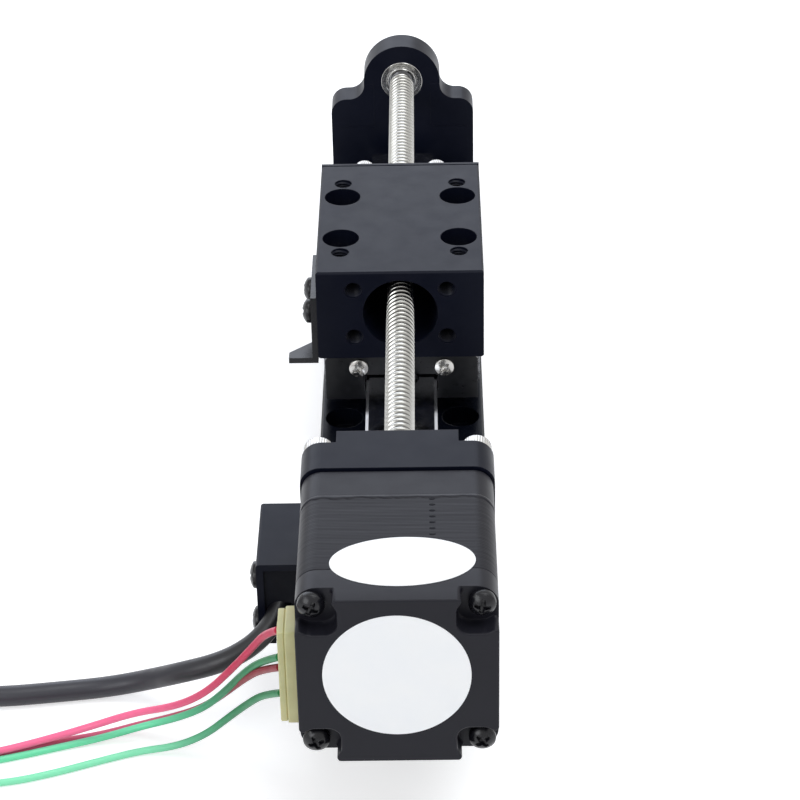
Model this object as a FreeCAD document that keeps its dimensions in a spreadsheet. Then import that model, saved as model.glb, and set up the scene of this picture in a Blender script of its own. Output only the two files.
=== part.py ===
"""Lead screw linear actuator: a stepping motor whose shaft is the lead screw, a carriage on a
profiled rail, a base plate, an end bearing and a limit sensor.

The row frame has its origin in the middle of the base plate's underside, +Z up, +Y along the
travel away from the motor and +X to the right seen from the motor. Lengths are in millimetres.
"""
import FreeCAD, Part
import math
import os

import Sketcher

TRAVEL_AXIS = FreeCAD.Vector(0, 1, 0)
UP = FreeCAD.Vector(0, 0, 1)

# Driving dimensions
SIZES = {
    # base plate
    "base_width": 28.0,
    "base_length": 164.0,
    "base_thickness": 8.0,
    "base_edge_chamfer": 0.4,
    "base_hole_spacing": 20.0,
    "base_inner_rows": 25.0,
    "base_outer_rows": 125.0,
    "base_hole_dia": 3.4,
    "base_counterbore_dia": 6.4,
    "base_counterbore_depth": 3.4,
    # rail and guide block
    "rail_width": 12.0,
    "rail_height": 8.0,
    "rail_length": 144.0,
    "rail_foot_height": 2.4,
    "rail_waist_width": 10.0,
    "rail_waist_low": 3.2,
    "rail_waist_high": 4.4,
    "rail_head_low": 5.2,
    "rail_chamfer": 0.5,
    "rail_hole_pitch": 25.0,
    "rail_hole_dia": 3.5,
    "rail_counterbore_dia": 6.0,
    "rail_counterbore_depth": 4.5,
    "rail_screw_floor": 1.5,
    "guide_gap": 0.3,
    "guide_hook_gap": 0.45,
    "guide_lip": 0.4,
    "guide_chamfer": 0.6,
    "guide_height": 13.0,
    "guide_clearance": 3.0,
    "guide_width": 27.0,
    "guide_length": 34.7,
    "end_cap_length": 6.5,
    "end_cap_inset": 0.5,
    "end_cap_chamfer": 1.2,
    "cap_screw_side": 7.3,
    "cap_screw_drop": 3.2,
    "guide_hole_dia": 3.0,
    "guide_hole_depth": 3.8,
    # screw line and carriage
    "axis_height": 21.6,
    "carriage_width": 28.0,
    "carriage_length": 39.0,
    "carriage_height": 16.5,
    "carriage_centre": 5.4,
    "carriage_edge_chamfer": 0.3,
    "carriage_bore_dia": 12.55,
    "carriage_bolt_x": 20.0,
    "carriage_bolt_y": 15.0,
    "carriage_counterbore_dia": 6.2,
    "carriage_counterbore_depth": 7.6,
    "carriage_bolt_hole_dia": 3.4,
    "load_hole_y": 25.0,
    "load_hole_dia": 3.0,
    "load_hole_depth": 8.0,
    "nut_circle_dia": 18.0,
    "front_hole_dia": 2.9,
    "front_hole_depth": 5.0,
    "front_hole_angle": 30.0,
    # lead nut
    "nut_body_dia": 12.4,
    "nut_body_length": 15.0,
    "nut_flange_dia": 23.6,
    "nut_flange_height": 15.2,
    "nut_flange_thickness": 3.5,
    "nut_screw_angle": 45.0,
    "nut_hole_dia": 2.6,
    # lead screw and rotor
    "screw_dia": 4.77,
    "screw_fit": 0.05,
    "shaft_dia": 5.0,
    "shaft_chamfer": 0.4,
    "shaft_past_plate": 2.0,
    "journal_dia": 4.0,
    "journal_lead_in": 3.0,
    "rotor_dia": 15.2,
    "air_gap": 0.3,
    "magnet_length": 2.4,
    "magnet_dia": 13.4,
    # motor
    "motor_size": 28.0,
    "motor_length": 29.8,
    "motor_corner": 2.6,
    "rear_bell_length": 9.0,
    "stack_length": 14.0,
    "motor_screw_spacing": 23.0,
    "pilot_dia": 22.0,
    "pilot_height": 2.0,
    "bell_cavity_dia": 24.4,
    "bell_wall": 4.6,
    "corner_recess": 7.2,
    "corner_recess_depth": 1.0,
    "corner_recess_round": 1.6,
    "body_screw_length": 25.3,
    "pole_width": 3.0,
    "slot_depth": 4.0,
    "slot_mouth": 1.6,
    "pole_tip": 0.9,
    "pole_tip_edge": 0.6,
    "coil_height": 2.0,
    "coil_wall": 0.9,
    "coil_gap": 0.15,
    "motor_bearing_dia": 11.0,
    "motor_bearing_width": 4.0,
    "motor_bearing_ledge": 1.3,
    "end_bearing_dia": 8.0,
    "end_bearing_width": 3.0,
    "end_bearing_ledge": 0.8,
    "motor_ball_dia": 1.6,
    "end_ball_dia": 1.0,
    "ball_clearance": 0.02,
    "shield_thickness": 0.2,
    "bearing_relief": 0.3,
    # mount plate
    "mount_thickness": 6.8,
    "mount_top": 14.1,
    "mount_corner": 3.0,
    "mount_block_width": 17.8,
    "mount_block_depth": 3.0,
    "mount_shaft_hole_dia": 9.0,
    "pilot_clearance": 0.1,
    # end bearing plate
    "end_thickness": 5.6,
    "hump_radius": 7.45,
    "hump_fillet": 3.0,
    "shoulder_drop": 4.5,
    "end_corner": 3.0,
    # fasteners
    "m25_dia": 2.5,
    "m25_head_dia": 4.5,
    "m25_head_height": 2.5,
    "m25_key": 2.0,
    "m3_dia": 3.0,
    "m3_head_dia": 5.5,
    "m3_head_height": 3.0,
    "m3_key": 2.5,
    "pan_head_dia": 4.8,
    "pan_head_height": 1.6,
    "body_head_height": 2.0,
    "cap_screw_dia": 1.6,
    "cap_screw_head_dia": 3.3,
    "cap_screw_head_height": 0.7,
    "plate_screw_spacing": 17.0,
    "plate_screw_inset": 2.8,
    "plate_screw_reach": 14.0,
    "mounting_screw_length": 9.8,
    "tapped_hole_play": 0.3,
    # limit sensor and its flag
    "sheet_thickness": 1.0,
    "flag_height": 9.0,
    "flag_reach": 4.0,
    "flag_root": 5.5,
    "flag_tip": 1.9,
    "flag_plate_length": 15.0,
    "flag_screw_pitch": 6.7,
    "flag_screw_drop": 1.5,
    "flag_screw_inset": 4.2,
    "flag_hole_depth": 2.0,
    "flag_plate_rise": 3.1,
    "sensor_box_width": 7.3,
    "sensor_box_length": 16.2,
    "sensor_box_height": 13.2,
    "sensor_box_top": 5.0,
    "sensor_box_start": 3.1,
    "sensor_wall": 1.1,
    "sensor_edge_round": 0.5,
    "sensor_leg_wall": 1.1,
    "sensor_flag_gap": 0.5,
    "sensor_screw_pitch": 7.2,
    "sensor_screw_inset": 3.8,
    "sensor_screw_drop": 2.9,
    "sensor_head_height": 1.2,
    "sensor_recess": 2.6,
    "sensor_body_drop": 1.3,
    "sensor_body_width": 4.8,
    "sensor_body_height": 10.4,
    "sensor_body_length": 12.4,
    "sensor_slot": 2.6,
    "sensor_web": 0.9,
    # motor connector
    "header_height": 19.8,
    "header_depth": 5.4,
    "header_reach": 1.9,
    "header_start": 3.0,
    "plug_height": 18.4,
    "plug_depth": 4.2,
    "plug_reach": 1.1,
    # cords
    "lead_dia": 1.2,
    "lead_coil_radius": 15.0,
    "lead_coil_hole": 7.2,
    "lead_coil_height": 2.6,
    "cable_dia": 2.8,
    "cable_coil_radius": 18.8,
    "cable_coil_hole": 10.0,
    "cable_coil_height": 5.8,
}

doc = FreeCAD.newDocument("lead_screw_actuator")
sheet = doc.addObject("Spreadsheet::Sheet", "Sizes")
for row, (alias, number) in enumerate(SIZES.items(), start=1):
    sheet.set(f"A{row}", str(number))
    sheet.setAlias(f"A{row}", alias)
doc.recompute()


class Term:
    """A size worked out from the sheet: its expression for the document and its value."""

    def __init__(self, text, value):
        self.text = text
        self.value = value

    @staticmethod
    def of(thing):
        return thing if isinstance(thing, Term) else Term(repr(float(thing)), float(thing))

    def _join(self, sign, other, value, turned=False):
        first, second = (other, self) if turned else (self, other)
        return Term(f"({first.text} {sign} {second.text})", value)

    def __add__(self, other):
        other = Term.of(other)
        return self._join("+", other, self.value + other.value)

    __radd__ = __add__

    def __sub__(self, other):
        other = Term.of(other)
        return self._join("-", other, self.value - other.value)

    def __rsub__(self, other):
        other = Term.of(other)
        return self._join("-", other, other.value - self.value, turned=True)

    def __mul__(self, other):
        other = Term.of(other)
        return self._join("*", other, self.value * other.value)

    __rmul__ = __mul__

    def __truediv__(self, other):
        other = Term.of(other)
        return self._join("/", other, self.value / other.value)

    def __neg__(self):
        return Term(f"(0 - {self.text})", -self.value)


class Sizes:
    """The sheet's cells by their aliases."""

    def __getattr__(self, alias):
        return Term(f"Sizes.{alias}", float(sheet.get(alias)))


s = Sizes()


def cosine(angle):
    return Term(f"cos({angle.text} * 1 deg)", math.cos(math.radians(angle.value)))


def sine(angle):
    return Term(f"sin({angle.text} * 1 deg)", math.sin(math.radians(angle.value)))


def bind(thing, path, term):
    """Tie a property of an object to the sheet."""
    thing.setExpression(path, Term.of(term).text)


def put(thing, x=0, y=0, z=0):
    """Tie an object's place to the sheet."""
    for name, term in (("x", x), ("y", y), ("z", z)):
        bind(thing, f"Placement.Base.{name}", term)
    return thing


# Places that several pieces share
AXIS_Z = s.base_thickness + s.axis_height
FRONT_Y = -(s.base_length / 2)
REAR_Y = s.base_length / 2
MOTOR_BACK_Y = FRONT_Y - s.motor_length
STACK_START_Y = MOTOR_BACK_Y + s.rear_bell_length
STACK_END_Y = STACK_START_Y + s.stack_length
MOUNT_REAR_Y = FRONT_Y + s.mount_thickness
END_FRONT_Y = REAR_Y - s.end_thickness
RAIL_TOP_Z = s.base_thickness + s.rail_height
GUIDE_TOP_Z = s.base_thickness + s.guide_height
CARRIAGE_TOP_Z = GUIDE_TOP_Z + s.carriage_height
CARRIAGE_FRONT_Y = s.carriage_centre - s.carriage_length / 2
CARRIAGE_REAR_Y = s.carriage_centre + s.carriage_length / 2
CORNERS = ((-1, -1), (1, -1), (1, 1), (-1, 1))


class Piece:
    """One rigid piece: a body of sketched features, placed at a point of the row frame."""

    def __init__(self, label, x=0, y=0, z=0):
        self.label = label
        self.body = doc.addObject("PartDesign::Body", label)
        self.body.Label = label
        self.count = 0
        put(self.body, x, y, z)

    def _name(self, kind):
        self.count += 1
        return f"{self.label}_{kind}_{self.count}"

    def _sketch(self, plane, at):
        sketch = self.body.newObject("Sketcher::SketchObject", self._name("sketch"))
        origin = [o for o in self.body.Origin.OriginFeatures if o.Role == f"{plane}_Plane"]
        sketch.AttachmentSupport = [(origin[0], "")]
        sketch.MapMode = "FlatFace"
        # the XZ plane's own normal points along -Y
        bind(sketch, "AttachmentOffset.Base.z", -Term.of(at) if plane == "XZ" else at)
        return sketch

    def _pin(self, sketch, shape, point, x, y):
        """Fix one point of a sketch at its distances from the origin."""
        for kind, axis, term in (("DistanceX", -2, x), ("DistanceY", -1, y)):
            term = Term.of(term)
            if term.text == "0.0":
                sketch.addConstraint(Sketcher.Constraint("PointOnObject", shape, point, axis))
                continue
            index = sketch.addConstraint(
                Sketcher.Constraint(kind, -1, 1, shape, point, term.value)
            )
            bind(sketch, f"Constraints[{index}]", term)

    def outline(self, plane, points, at=0):
        """A closed outline of straight sides."""
        sketch = self._sketch(plane, at)
        corners = [
            FreeCAD.Vector(Term.of(x).value, Term.of(y).value, 0) for x, y in points
        ]
        for first, second in zip(corners, corners[1:] + corners[:1]):
            sketch.addGeometry(Part.LineSegment(first, second))
        for i in range(len(points)):
            sketch.addConstraint(
                Sketcher.Constraint("Coincident", i, 2, (i + 1) % len(points), 1)
            )
        for i, (x, y) in enumerate(points):
            self._pin(sketch, i, 1, x, y)
        return sketch

    def rectangle(self, plane, width, low, high, at=0):
        """A rectangle centred on the sketch's upright axis."""
        half = Term.of(width) / 2
        return self.outline(
            plane, [(-half, low), (half, low), (half, high), (-half, high)], at
        )

    def circles(self, plane, places, diameter, at=0):
        """Equal circles at the given places."""
        sketch = self._sketch(plane, at)
        radius = Term.of(diameter) / 2
        for i, (x, y) in enumerate(places):
            centre = FreeCAD.Vector(Term.of(x).value, Term.of(y).value, 0)
            sketch.addGeometry(Part.Circle(centre, UP, radius.value))
            self._pin(sketch, i, 3, x, y)
            index = sketch.addConstraint(Sketcher.Constraint("Radius", i, radius.value))
            bind(sketch, f"Constraints[{index}]", radius)
        return sketch

    def _volume(self):
        doc.recompute()
        shape = self.body.Shape
        return shape.Volume if not shape.isNull() else 0.0

    def pad(self, sketch, length, plane):
        """Add the sketch's outline, along +X, +Y or +Z from its plane."""
        before = self._volume()
        pad = self.body.newObject("PartDesign::Pad", self._name("pad"))
        pad.Profile = sketch
        pad.Reversed = plane == "XZ"
        bind(pad, "Length", length)
        if self._volume() <= before:
            raise ValueError(f"{pad.Name} adds nothing")
        return self

    def cut(self, sketch, depth, backwards):
        """Cut the sketch's outline, against its plane's normal or, if backwards, along it."""
        before = self._volume()
        pocket = self.body.newObject("PartDesign::Pocket", self._name("pocket"))
        pocket.Profile = sketch
        pocket.Reversed = backwards
        bind(pocket, "Length", depth)
        if self._volume() >= before:
            raise ValueError(f"{pocket.Name} cuts nothing")
        return self

    def drill_down(self, places, diameter, top, depth):
        """Round holes from the height top downwards."""
        return self.cut(self.circles("XY", places, diameter, at=top), depth, False)

    def drill_up(self, places, diameter, bottom, depth):
        return self.cut(self.circles("XY", places, diameter, at=bottom), depth, True)

    def drill_ahead(self, places, diameter, start, depth):
        """Round holes from the place start along +Y."""
        return self.cut(self.circles("XZ", places, diameter, at=start), depth, False)

    def drill_back(self, places, diameter, start, depth):
        """Round holes from the place start along -Y."""
        return self.cut(self.circles("XZ", places, diameter, at=start), depth, True)

    def drill_right(self, places, diameter, start, depth):
        """Round holes from the place start along +X."""
        return self.cut(self.circles("YZ", places, diameter, at=start), depth, True)

    def turn(self, points):
        """A turned form round the sketch's upright axis, Y, from (radius, along) points."""
        before = self._volume()
        turned = self.body.newObject("PartDesign::Revolution", self._name("turn"))
        sketch = self.outline("XY", points)
        turned.Profile = sketch
        turned.ReferenceAxis = (sketch, ["V_Axis"])
        turned.Angle = 360
        if self._volume() <= before:
            raise ValueError(f"{turned.Name} adds nothing")
        return self

    def dress(self, kind, size, wanted):
        """Round or bevel the edges that the test picks."""
        doc.recompute()
        tip = self.body.Tip
        names = [
            f"Edge{i}" for i, edge in enumerate(tip.Shape.Edges, start=1) if wanted(edge)
        ]
        if not names:
            raise ValueError(f"{self.label} has no such edge to {kind}")
        dressed = self.body.newObject(f"PartDesign::{kind}", self._name(kind.lower()))
        dressed.Base = (tip, names)
        bind(dressed, "Radius" if kind == "Fillet" else "Size", size)
        doc.recompute()
        return self

    def fillet(self, size, wanted):
        return self.dress("Fillet", size, wanted)

    def chamfer(self, size, wanted):
        return self.dress("Chamfer", size, wanted)


def is_straight(edge):
    return edge.Curve.TypeId == "Part::GeomLine"


def along(edge, direction):
    """Whether an edge is straight and runs along a direction."""
    if not is_straight(edge):
        return False
    run = edge.Vertexes[-1].Point - edge.Vertexes[0].Point
    return abs(run.normalize().dot(direction)) > 0.999


def middle(edge):
    return edge.CenterOfMass


def near(first, second):
    return abs(first - Term.of(second).value) < 1e-4


def grid(spacing_x, spacing_y):
    """Four places at the corners of a rectangle round the origin."""
    return [(i * (spacing_x / 2), j * (spacing_y / 2)) for i, j in CORNERS]


def on_circle(diameter, angle):
    """Four places on a circle, an angle away from the horizontal."""
    x, z = diameter / 2 * cosine(angle), diameter / 2 * sine(angle)
    return [(i * x, j * z) for i, j in CORNERS]


def shifted(places, x=0, y=0):
    return [(Term.of(a) + x, Term.of(b) + y) for a, b in places]


def group(label, parts):
    """Equal pieces that share one node, each a solid of its own."""
    together = doc.addObject("Part::Compound", label)
    together.Label = label
    together.Links = parts
    return together


# Fasteners, drawn along +Z with the seat of the head at their origin
def round_bar(name, diameter, length, z=0):
    bar = doc.addObject("Part::Cylinder", name)
    bind(bar, "Radius", Term.of(diameter) / 2)
    bind(bar, "Height", length)
    put(bar, 0, 0, z)
    return bar


def fuse(name, parts):
    fused = doc.addObject("Part::MultiFuse", name)
    fused.Shapes = parts
    fused.Refine = True
    return fused


def cap_screw(name, size, length):
    """A socket head screw of the size m3 or m25."""
    head_dia, head_height, diameter, key = (
        getattr(s, f"{size}_{part}") for part in ("head_dia", "head_height", "dia", "key")
    )
    solid = fuse(
        f"{name}_solid",
        [
            round_bar(f"{name}_head", head_dia, head_height),
            round_bar(f"{name}_shank", diameter, length, -Term.of(length)),
        ],
    )
    socket = doc.addObject("Part::Prism", f"{name}_socket")
    socket.Polygon = 6
    bind(socket, "Circumradius", key / math.sqrt(3))
    bind(socket, "Height", head_height)
    put(socket, 0, 0, head_height / 2)
    screw = doc.addObject("Part::Cut", name)
    screw.Base = solid
    screw.Tool = socket
    return screw


def pan_screw(name, head_dia, head_height, diameter, length):
    """A screw with a low domed head."""
    dome = doc.addObject("Part::Sphere", f"{name}_dome")
    rise = head_height / 2
    radius = (head_dia * head_dia / 4 + rise * rise) / (2 * rise)
    bind(dome, "Radius", radius)
    put(dome, 0, 0, head_height - radius)
    head = doc.addObject("Part::Common", f"{name}_crown")
    head.Base = round_bar(f"{name}_head", head_dia, head_height)
    head.Tool = dome
    return fuse(name, [head, round_bar(f"{name}_shank", diameter, length, -Term.of(length))])


# How a fastener drawn along +Z is turned to point its head along an axis
HEAD_UP = FreeCAD.Rotation()
HEAD_DOWN = FreeCAD.Rotation(FreeCAD.Vector(1, 0, 0), 180)
HEAD_AHEAD = FreeCAD.Rotation(FreeCAD.Vector(1, 0, 0), -90)
HEAD_BACK = FreeCAD.Rotation(FreeCAD.Vector(1, 0, 0), 90)
HEAD_LEFT = FreeCAD.Rotation(FreeCAD.Vector(0, 1, 0), -90)


def screws(label, make, turn, places):
    """One fastener at each place, in one node."""
    made = []
    for i, (x, y, z) in enumerate(places, start=1):
        screw = make(f"{label}_{i}")
        screw.Placement = FreeCAD.Placement(FreeCAD.Vector(), turn)
        made.append(put(screw, x, y, z))
    return group(label, made)


RAIL_HOLES = [(0, (k - 2.5) * s.rail_hole_pitch) for k in range(6)]
PLATE_SCREW_PLACES = [
    (side * (s.plate_screw_spacing / 2), y)
    for y in (FRONT_Y + s.plate_screw_inset, REAR_Y - s.plate_screw_inset)
    for side in (-1, 1)
]


def base_plate():
    plate = Piece("base_plate")
    outline = plate.rectangle("XY", s.base_width, FRONT_Y, REAR_Y)
    plate.pad(outline, s.base_thickness, "XY")
    plate.chamfer(
        s.base_edge_chamfer,
        lambda edge: along(edge, TRAVEL_AXIS) and near(middle(edge).z, s.base_thickness),
    )
    bolts = grid(s.base_hole_spacing, s.base_inner_rows) + grid(
        s.base_hole_spacing, s.base_outer_rows
    )
    plate.drill_down(bolts, s.base_hole_dia, s.base_thickness, s.base_thickness)
    plate.drill_down(
        bolts, s.base_counterbore_dia, s.base_thickness, s.base_counterbore_depth
    )
    plate.drill_down(RAIL_HOLES, s.m3_dia, s.base_thickness, s.base_thickness - s.rail_screw_floor)
    plate.drill_up(PLATE_SCREW_PLACES, s.base_hole_dia, 0, s.base_thickness)
    plate.drill_up(
        PLATE_SCREW_PLACES, s.base_counterbore_dia, 0, s.base_counterbore_depth
    )


def linear_rail():
    """The rail's section has a waist under each side of its head, where the guide block hooks in."""
    rail = Piece("linear_rail", 0, -(s.rail_length / 2), s.base_thickness)
    half, waist = s.rail_width / 2, s.rail_waist_width / 2
    side = [
        (half, 0),
        (half, s.rail_foot_height),
        (waist, s.rail_waist_low),
        (waist, s.rail_waist_high),
        (half, s.rail_head_low),
        (half, s.rail_height - s.rail_chamfer),
        (half - s.rail_chamfer, s.rail_height),
    ]
    points = side + [(-x, z) for x, z in reversed(side)]
    rail.pad(rail.outline("XZ", points), s.rail_length, "XZ")
    holes = shifted(RAIL_HOLES, y=s.rail_length / 2)
    holes = [(0, y) for _, y in holes]
    rail.drill_down(holes, s.rail_hole_dia, s.rail_height, s.rail_height)
    rail.drill_down(
        holes, s.rail_counterbore_dia, s.rail_height, s.rail_counterbore_depth
    )


def guide_section(piece, width, inset, chamfer):
    """The section that the guide block and its end caps share: a saddle round the rail's head."""
    half = width / 2 - inset
    bottom = s.guide_clearance + inset
    top = s.guide_height - inset
    channel = s.rail_width / 2 + s.guide_gap
    hook = s.rail_waist_width / 2 + s.guide_hook_gap
    hook_top = s.rail_waist_high - s.guide_gap / 2
    roof = s.rail_height + s.guide_gap
    side = [
        (half, bottom),
        (half, top - chamfer),
        (half - chamfer, top),
    ]
    inner = [
        (channel, roof),
        (channel, s.rail_head_low),
        (hook, hook_top),
        (hook, bottom + s.guide_lip),
        (hook + s.guide_lip, bottom),
    ]
    left_outer = [(-x, z) for x, z in reversed(side)]
    left_inner = [(-x, z) for x, z in reversed(inner)]
    return piece.outline("XZ", side + left_outer + left_inner + inner)


def guide_block():
    """The steel body of the guide block, between its two end caps."""
    length = s.guide_length - 2 * s.end_cap_length
    block = Piece("guide_block", 0, s.carriage_centre - length / 2, s.base_thickness)
    section = guide_section(block, s.guide_width, Term.of(0), s.guide_chamfer)
    block.pad(section, length, "XZ")
    block.drill_down(
        shifted(grid(s.carriage_bolt_x, s.carriage_bolt_y), y=length / 2),
        s.guide_hole_dia,
        s.guide_height,
        s.guide_hole_depth,
    )


def guide_end_caps():
    """The moulded caps that turn the balls round at each end of the guide block."""
    caps = []
    steel = s.guide_length - 2 * s.end_cap_length
    starts = (
        s.carriage_centre - s.guide_length / 2,
        s.carriage_centre + steel / 2,
    )
    for name, start in zip(("front", "rear"), starts):
        cap = Piece(f"end_cap_{name}", 0, start, s.base_thickness)
        section = guide_section(cap, s.guide_width, s.end_cap_inset, s.end_cap_chamfer)
        cap.pad(section, s.end_cap_length, "XZ")
        screw_holes = [
            (side * s.cap_screw_side, s.guide_height - s.cap_screw_drop) for side in (-1, 1)
        ]
        cap.drill_ahead(screw_holes, s.cap_screw_dia, 0, s.end_cap_length)
        caps.append(cap.body)
    group("guide_end_caps", caps)


def end_cap_screws():
    def make(name):
        return pan_screw(
            name,
            s.cap_screw_head_dia,
            s.cap_screw_head_height,
            s.cap_screw_dia,
            s.end_cap_length,
        )

    height = GUIDE_TOP_Z - s.cap_screw_drop
    ends = s.guide_length / 2
    front = screws(
        "end_cap_screws_front",
        make,
        HEAD_BACK,
        [(side * s.cap_screw_side, s.carriage_centre - ends, height) for side in (-1, 1)],
    )
    rear = screws(
        "end_cap_screws_rear",
        make,
        HEAD_AHEAD,
        [(side * s.cap_screw_side, s.carriage_centre + ends, height) for side in (-1, 1)],
    )
    group("end_cap_screws", [front, rear])


def carriage_block():
    """The carriage: tapped for a load on top and on its front, bored for the lead nut."""
    block = Piece("carriage_block", 0, CARRIAGE_FRONT_Y, GUIDE_TOP_Z)
    block.pad(
        block.rectangle("XZ", s.carriage_width, 0, s.carriage_height),
        s.carriage_length,
        "XZ",
    )
    block.chamfer(
        s.carriage_edge_chamfer,
        lambda edge: along(edge, TRAVEL_AXIS)
        or near(middle(edge).z, s.carriage_height)
        and near(abs(middle(edge).x), 0),
    )
    axis = AXIS_Z - GUIDE_TOP_Z
    block.drill_ahead([(0, axis)], s.carriage_bore_dia, 0, s.carriage_length)
    block.drill_ahead(
        shifted(on_circle(s.nut_circle_dia, s.front_hole_angle), y=axis),
        s.front_hole_dia,
        0,
        s.front_hole_depth,
    )
    block.drill_back(
        shifted(on_circle(s.nut_circle_dia, s.nut_screw_angle), y=axis),
        s.m25_dia,
        s.carriage_length,
        s.front_hole_depth,
    )
    centre = s.carriage_length / 2
    bolts = shifted(grid(s.carriage_bolt_x, s.carriage_bolt_y), y=centre)
    loads = shifted(grid(s.carriage_bolt_x, s.load_hole_y), y=centre)
    top = s.carriage_height
    block.drill_down(bolts, s.carriage_bolt_hole_dia, top, s.carriage_height)
    block.drill_down(
        bolts, s.carriage_counterbore_dia, top, s.carriage_counterbore_depth
    )
    block.drill_down(loads, s.load_hole_dia, top, s.load_hole_depth)
    flag_holes = [
        (s.flag_screw_inset + i * s.flag_screw_pitch, axis - s.flag_screw_drop)
        for i in (0, 1)
    ]
    block.drill_right(
        flag_holes, s.m25_dia, -(s.carriage_width / 2), s.flag_hole_depth
    )


def carriage_screws():
    seat = CARRIAGE_TOP_Z - s.carriage_counterbore_depth
    length = seat - GUIDE_TOP_Z + s.guide_hole_depth - s.tapped_hole_play
    places = shifted(grid(s.carriage_bolt_x, s.carriage_bolt_y), y=s.carriage_centre)
    screws(
        "carriage_screws",
        lambda name: cap_screw(name, "m3", length),
        HEAD_UP,
        [(x, y, seat) for x, y in places],
    )


def lead_nut():
    """The flanged nut, let into the carriage from behind; its flange has two flats."""
    nut = Piece("lead_nut", 0, CARRIAGE_REAR_Y, AXIS_Z)
    thickness = s.nut_flange_thickness
    nut.turn(
        [
            (0, -s.nut_body_length),
            (s.nut_body_dia / 2, -s.nut_body_length),
            (s.nut_body_dia / 2, 0),
            (s.nut_flange_dia / 2, 0),
            (s.nut_flange_dia / 2, thickness),
            (0, thickness),
        ]
    )
    reach = s.nut_flange_dia
    for side in (-1, 1):
        flat = [
            (-reach, side * (s.nut_flange_height / 2)),
            (reach, side * (s.nut_flange_height / 2)),
            (reach, side * reach),
            (-reach, side * reach),
        ]
        nut.cut(nut.outline("XZ", flat), thickness, False)
    bore = s.screw_dia + 2 * s.screw_fit
    nut.drill_back([(0, 0)], bore, thickness, thickness + s.nut_body_length)
    nut.drill_back(
        on_circle(s.nut_circle_dia, s.nut_screw_angle), s.nut_hole_dia, thickness, thickness
    )


def nut_screws():
    places = shifted(on_circle(s.nut_circle_dia, s.nut_screw_angle), y=AXIS_Z)
    length = s.nut_flange_thickness + s.front_hole_depth - s.tapped_hole_play
    screws(
        "nut_screws",
        lambda name: cap_screw(name, "m25", length),
        HEAD_AHEAD,
        [(x, CARRIAGE_REAR_Y + s.nut_flange_thickness, z) for x, z in places],
    )


REAR_BEARING_Y = MOTOR_BACK_Y + s.bell_wall - s.motor_bearing_width / 2
FRONT_BEARING_Y = FRONT_Y - s.bell_wall + s.motor_bearing_width / 2
END_BEARING_Y = END_FRONT_Y + s.end_bearing_width / 2
SHAFT_END_Y = MOUNT_REAR_Y + s.shaft_past_plate


def lead_screw():
    """The motor's shaft and the lead screw are one bar; its thread is cut over the plain length."""
    bar = Piece("lead_screw", 0, 0, AXIS_Z)
    tail = REAR_BEARING_Y - s.motor_bearing_width / 2 + s.bearing_relief / 2
    tip = END_FRONT_Y + s.end_bearing_width
    thread_end = END_FRONT_Y - s.journal_lead_in
    chamfer = s.shaft_chamfer
    radius = s.shaft_dia / 2
    bar.turn(
        [
            (0, tail),
            (radius - chamfer, tail),
            (radius, tail + chamfer),
            (radius, SHAFT_END_Y),
            (s.screw_dia / 2, SHAFT_END_Y + chamfer),
            (s.screw_dia / 2, thread_end - chamfer),
            (s.journal_dia / 2, thread_end),
            (s.journal_dia / 2, tip - chamfer),
            (s.journal_dia / 2 - chamfer, tip),
            (0, tip),
        ]
    )


STACK_MIDDLE_Y = (STACK_START_Y + STACK_END_Y) / 2
CUP_LENGTH = s.stack_length / 2 - s.magnet_length / 2


def rotor():
    """Two steel cups on the shaft, with a flat magnet between them."""
    cups = []
    starts = (STACK_START_Y, STACK_MIDDLE_Y + s.magnet_length / 2)
    for name, start in zip(("rear", "front"), starts):
        cup = Piece(f"rotor_cup_{name}", 0, start, AXIS_Z)
        cup.turn(
            [
                (s.shaft_dia / 2, 0),
                (s.rotor_dia / 2, 0),
                (s.rotor_dia / 2, CUP_LENGTH),
                (s.shaft_dia / 2, CUP_LENGTH),
            ]
        )
        cups.append(cup.body)
    group("rotor_cups", cups)
    magnet = Piece("rotor_magnet", 0, STACK_MIDDLE_Y - s.magnet_length / 2, AXIS_Z)
    magnet.turn(
        [
            (s.shaft_dia / 2, 0),
            (s.magnet_dia / 2, 0),
            (s.magnet_dia / 2, s.magnet_length),
            (s.shaft_dia / 2, s.magnet_length),
        ]
    )


def square_profile(piece, size, corner):
    """The motor's outline: a square with cut corners."""
    half = size / 2
    inner = half - corner
    right = [(half, -inner), (half, inner), (inner, half)]
    left = [(-x, -z) for x, z in right]
    return piece.outline("XZ", right + [(-inner, half)] + left + [(inner, -half)])


MOTOR_SCREWS = grid(s.motor_screw_spacing, s.motor_screw_spacing)


def motor_rear_bell():
    bell = Piece("motor_rear_bell", 0, MOTOR_BACK_Y, AXIS_Z)
    bell.pad(
        square_profile(bell, s.motor_size, s.motor_corner), s.rear_bell_length, "XZ"
    )
    axis = [(0, 0)]
    bell.drill_back(
        axis, s.bell_cavity_dia, s.rear_bell_length, s.rear_bell_length - s.bell_wall
    )
    bell.drill_back(axis, s.motor_bearing_dia, s.bell_wall, s.motor_bearing_width)
    bell.drill_back(
        axis,
        s.motor_bearing_dia - 2 * s.motor_bearing_ledge,
        s.bell_wall,
        s.motor_bearing_width + s.bearing_relief,
    )
    bell.drill_ahead(MOTOR_SCREWS, s.m25_dia, 0, s.rear_bell_length)
    half, size = s.motor_size / 2, s.corner_recess
    for i, j in CORNERS:
        notch = [
            (i * (half + 1), j * (half + 1)),
            (i * (half - size), j * (half + 1)),
            (i * (half - size), j * (half - size)),
            (i * (half + 1), j * (half - size)),
        ]
        bell.cut(bell.outline("XZ", notch), s.corner_recess_depth, False)
    bell.fillet(
        s.corner_recess_round,
        lambda edge: along(edge, TRAVEL_AXIS)
        and near(abs(middle(edge).x), half - size)
        and near(abs(middle(edge).z), half - size),
    )


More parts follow.
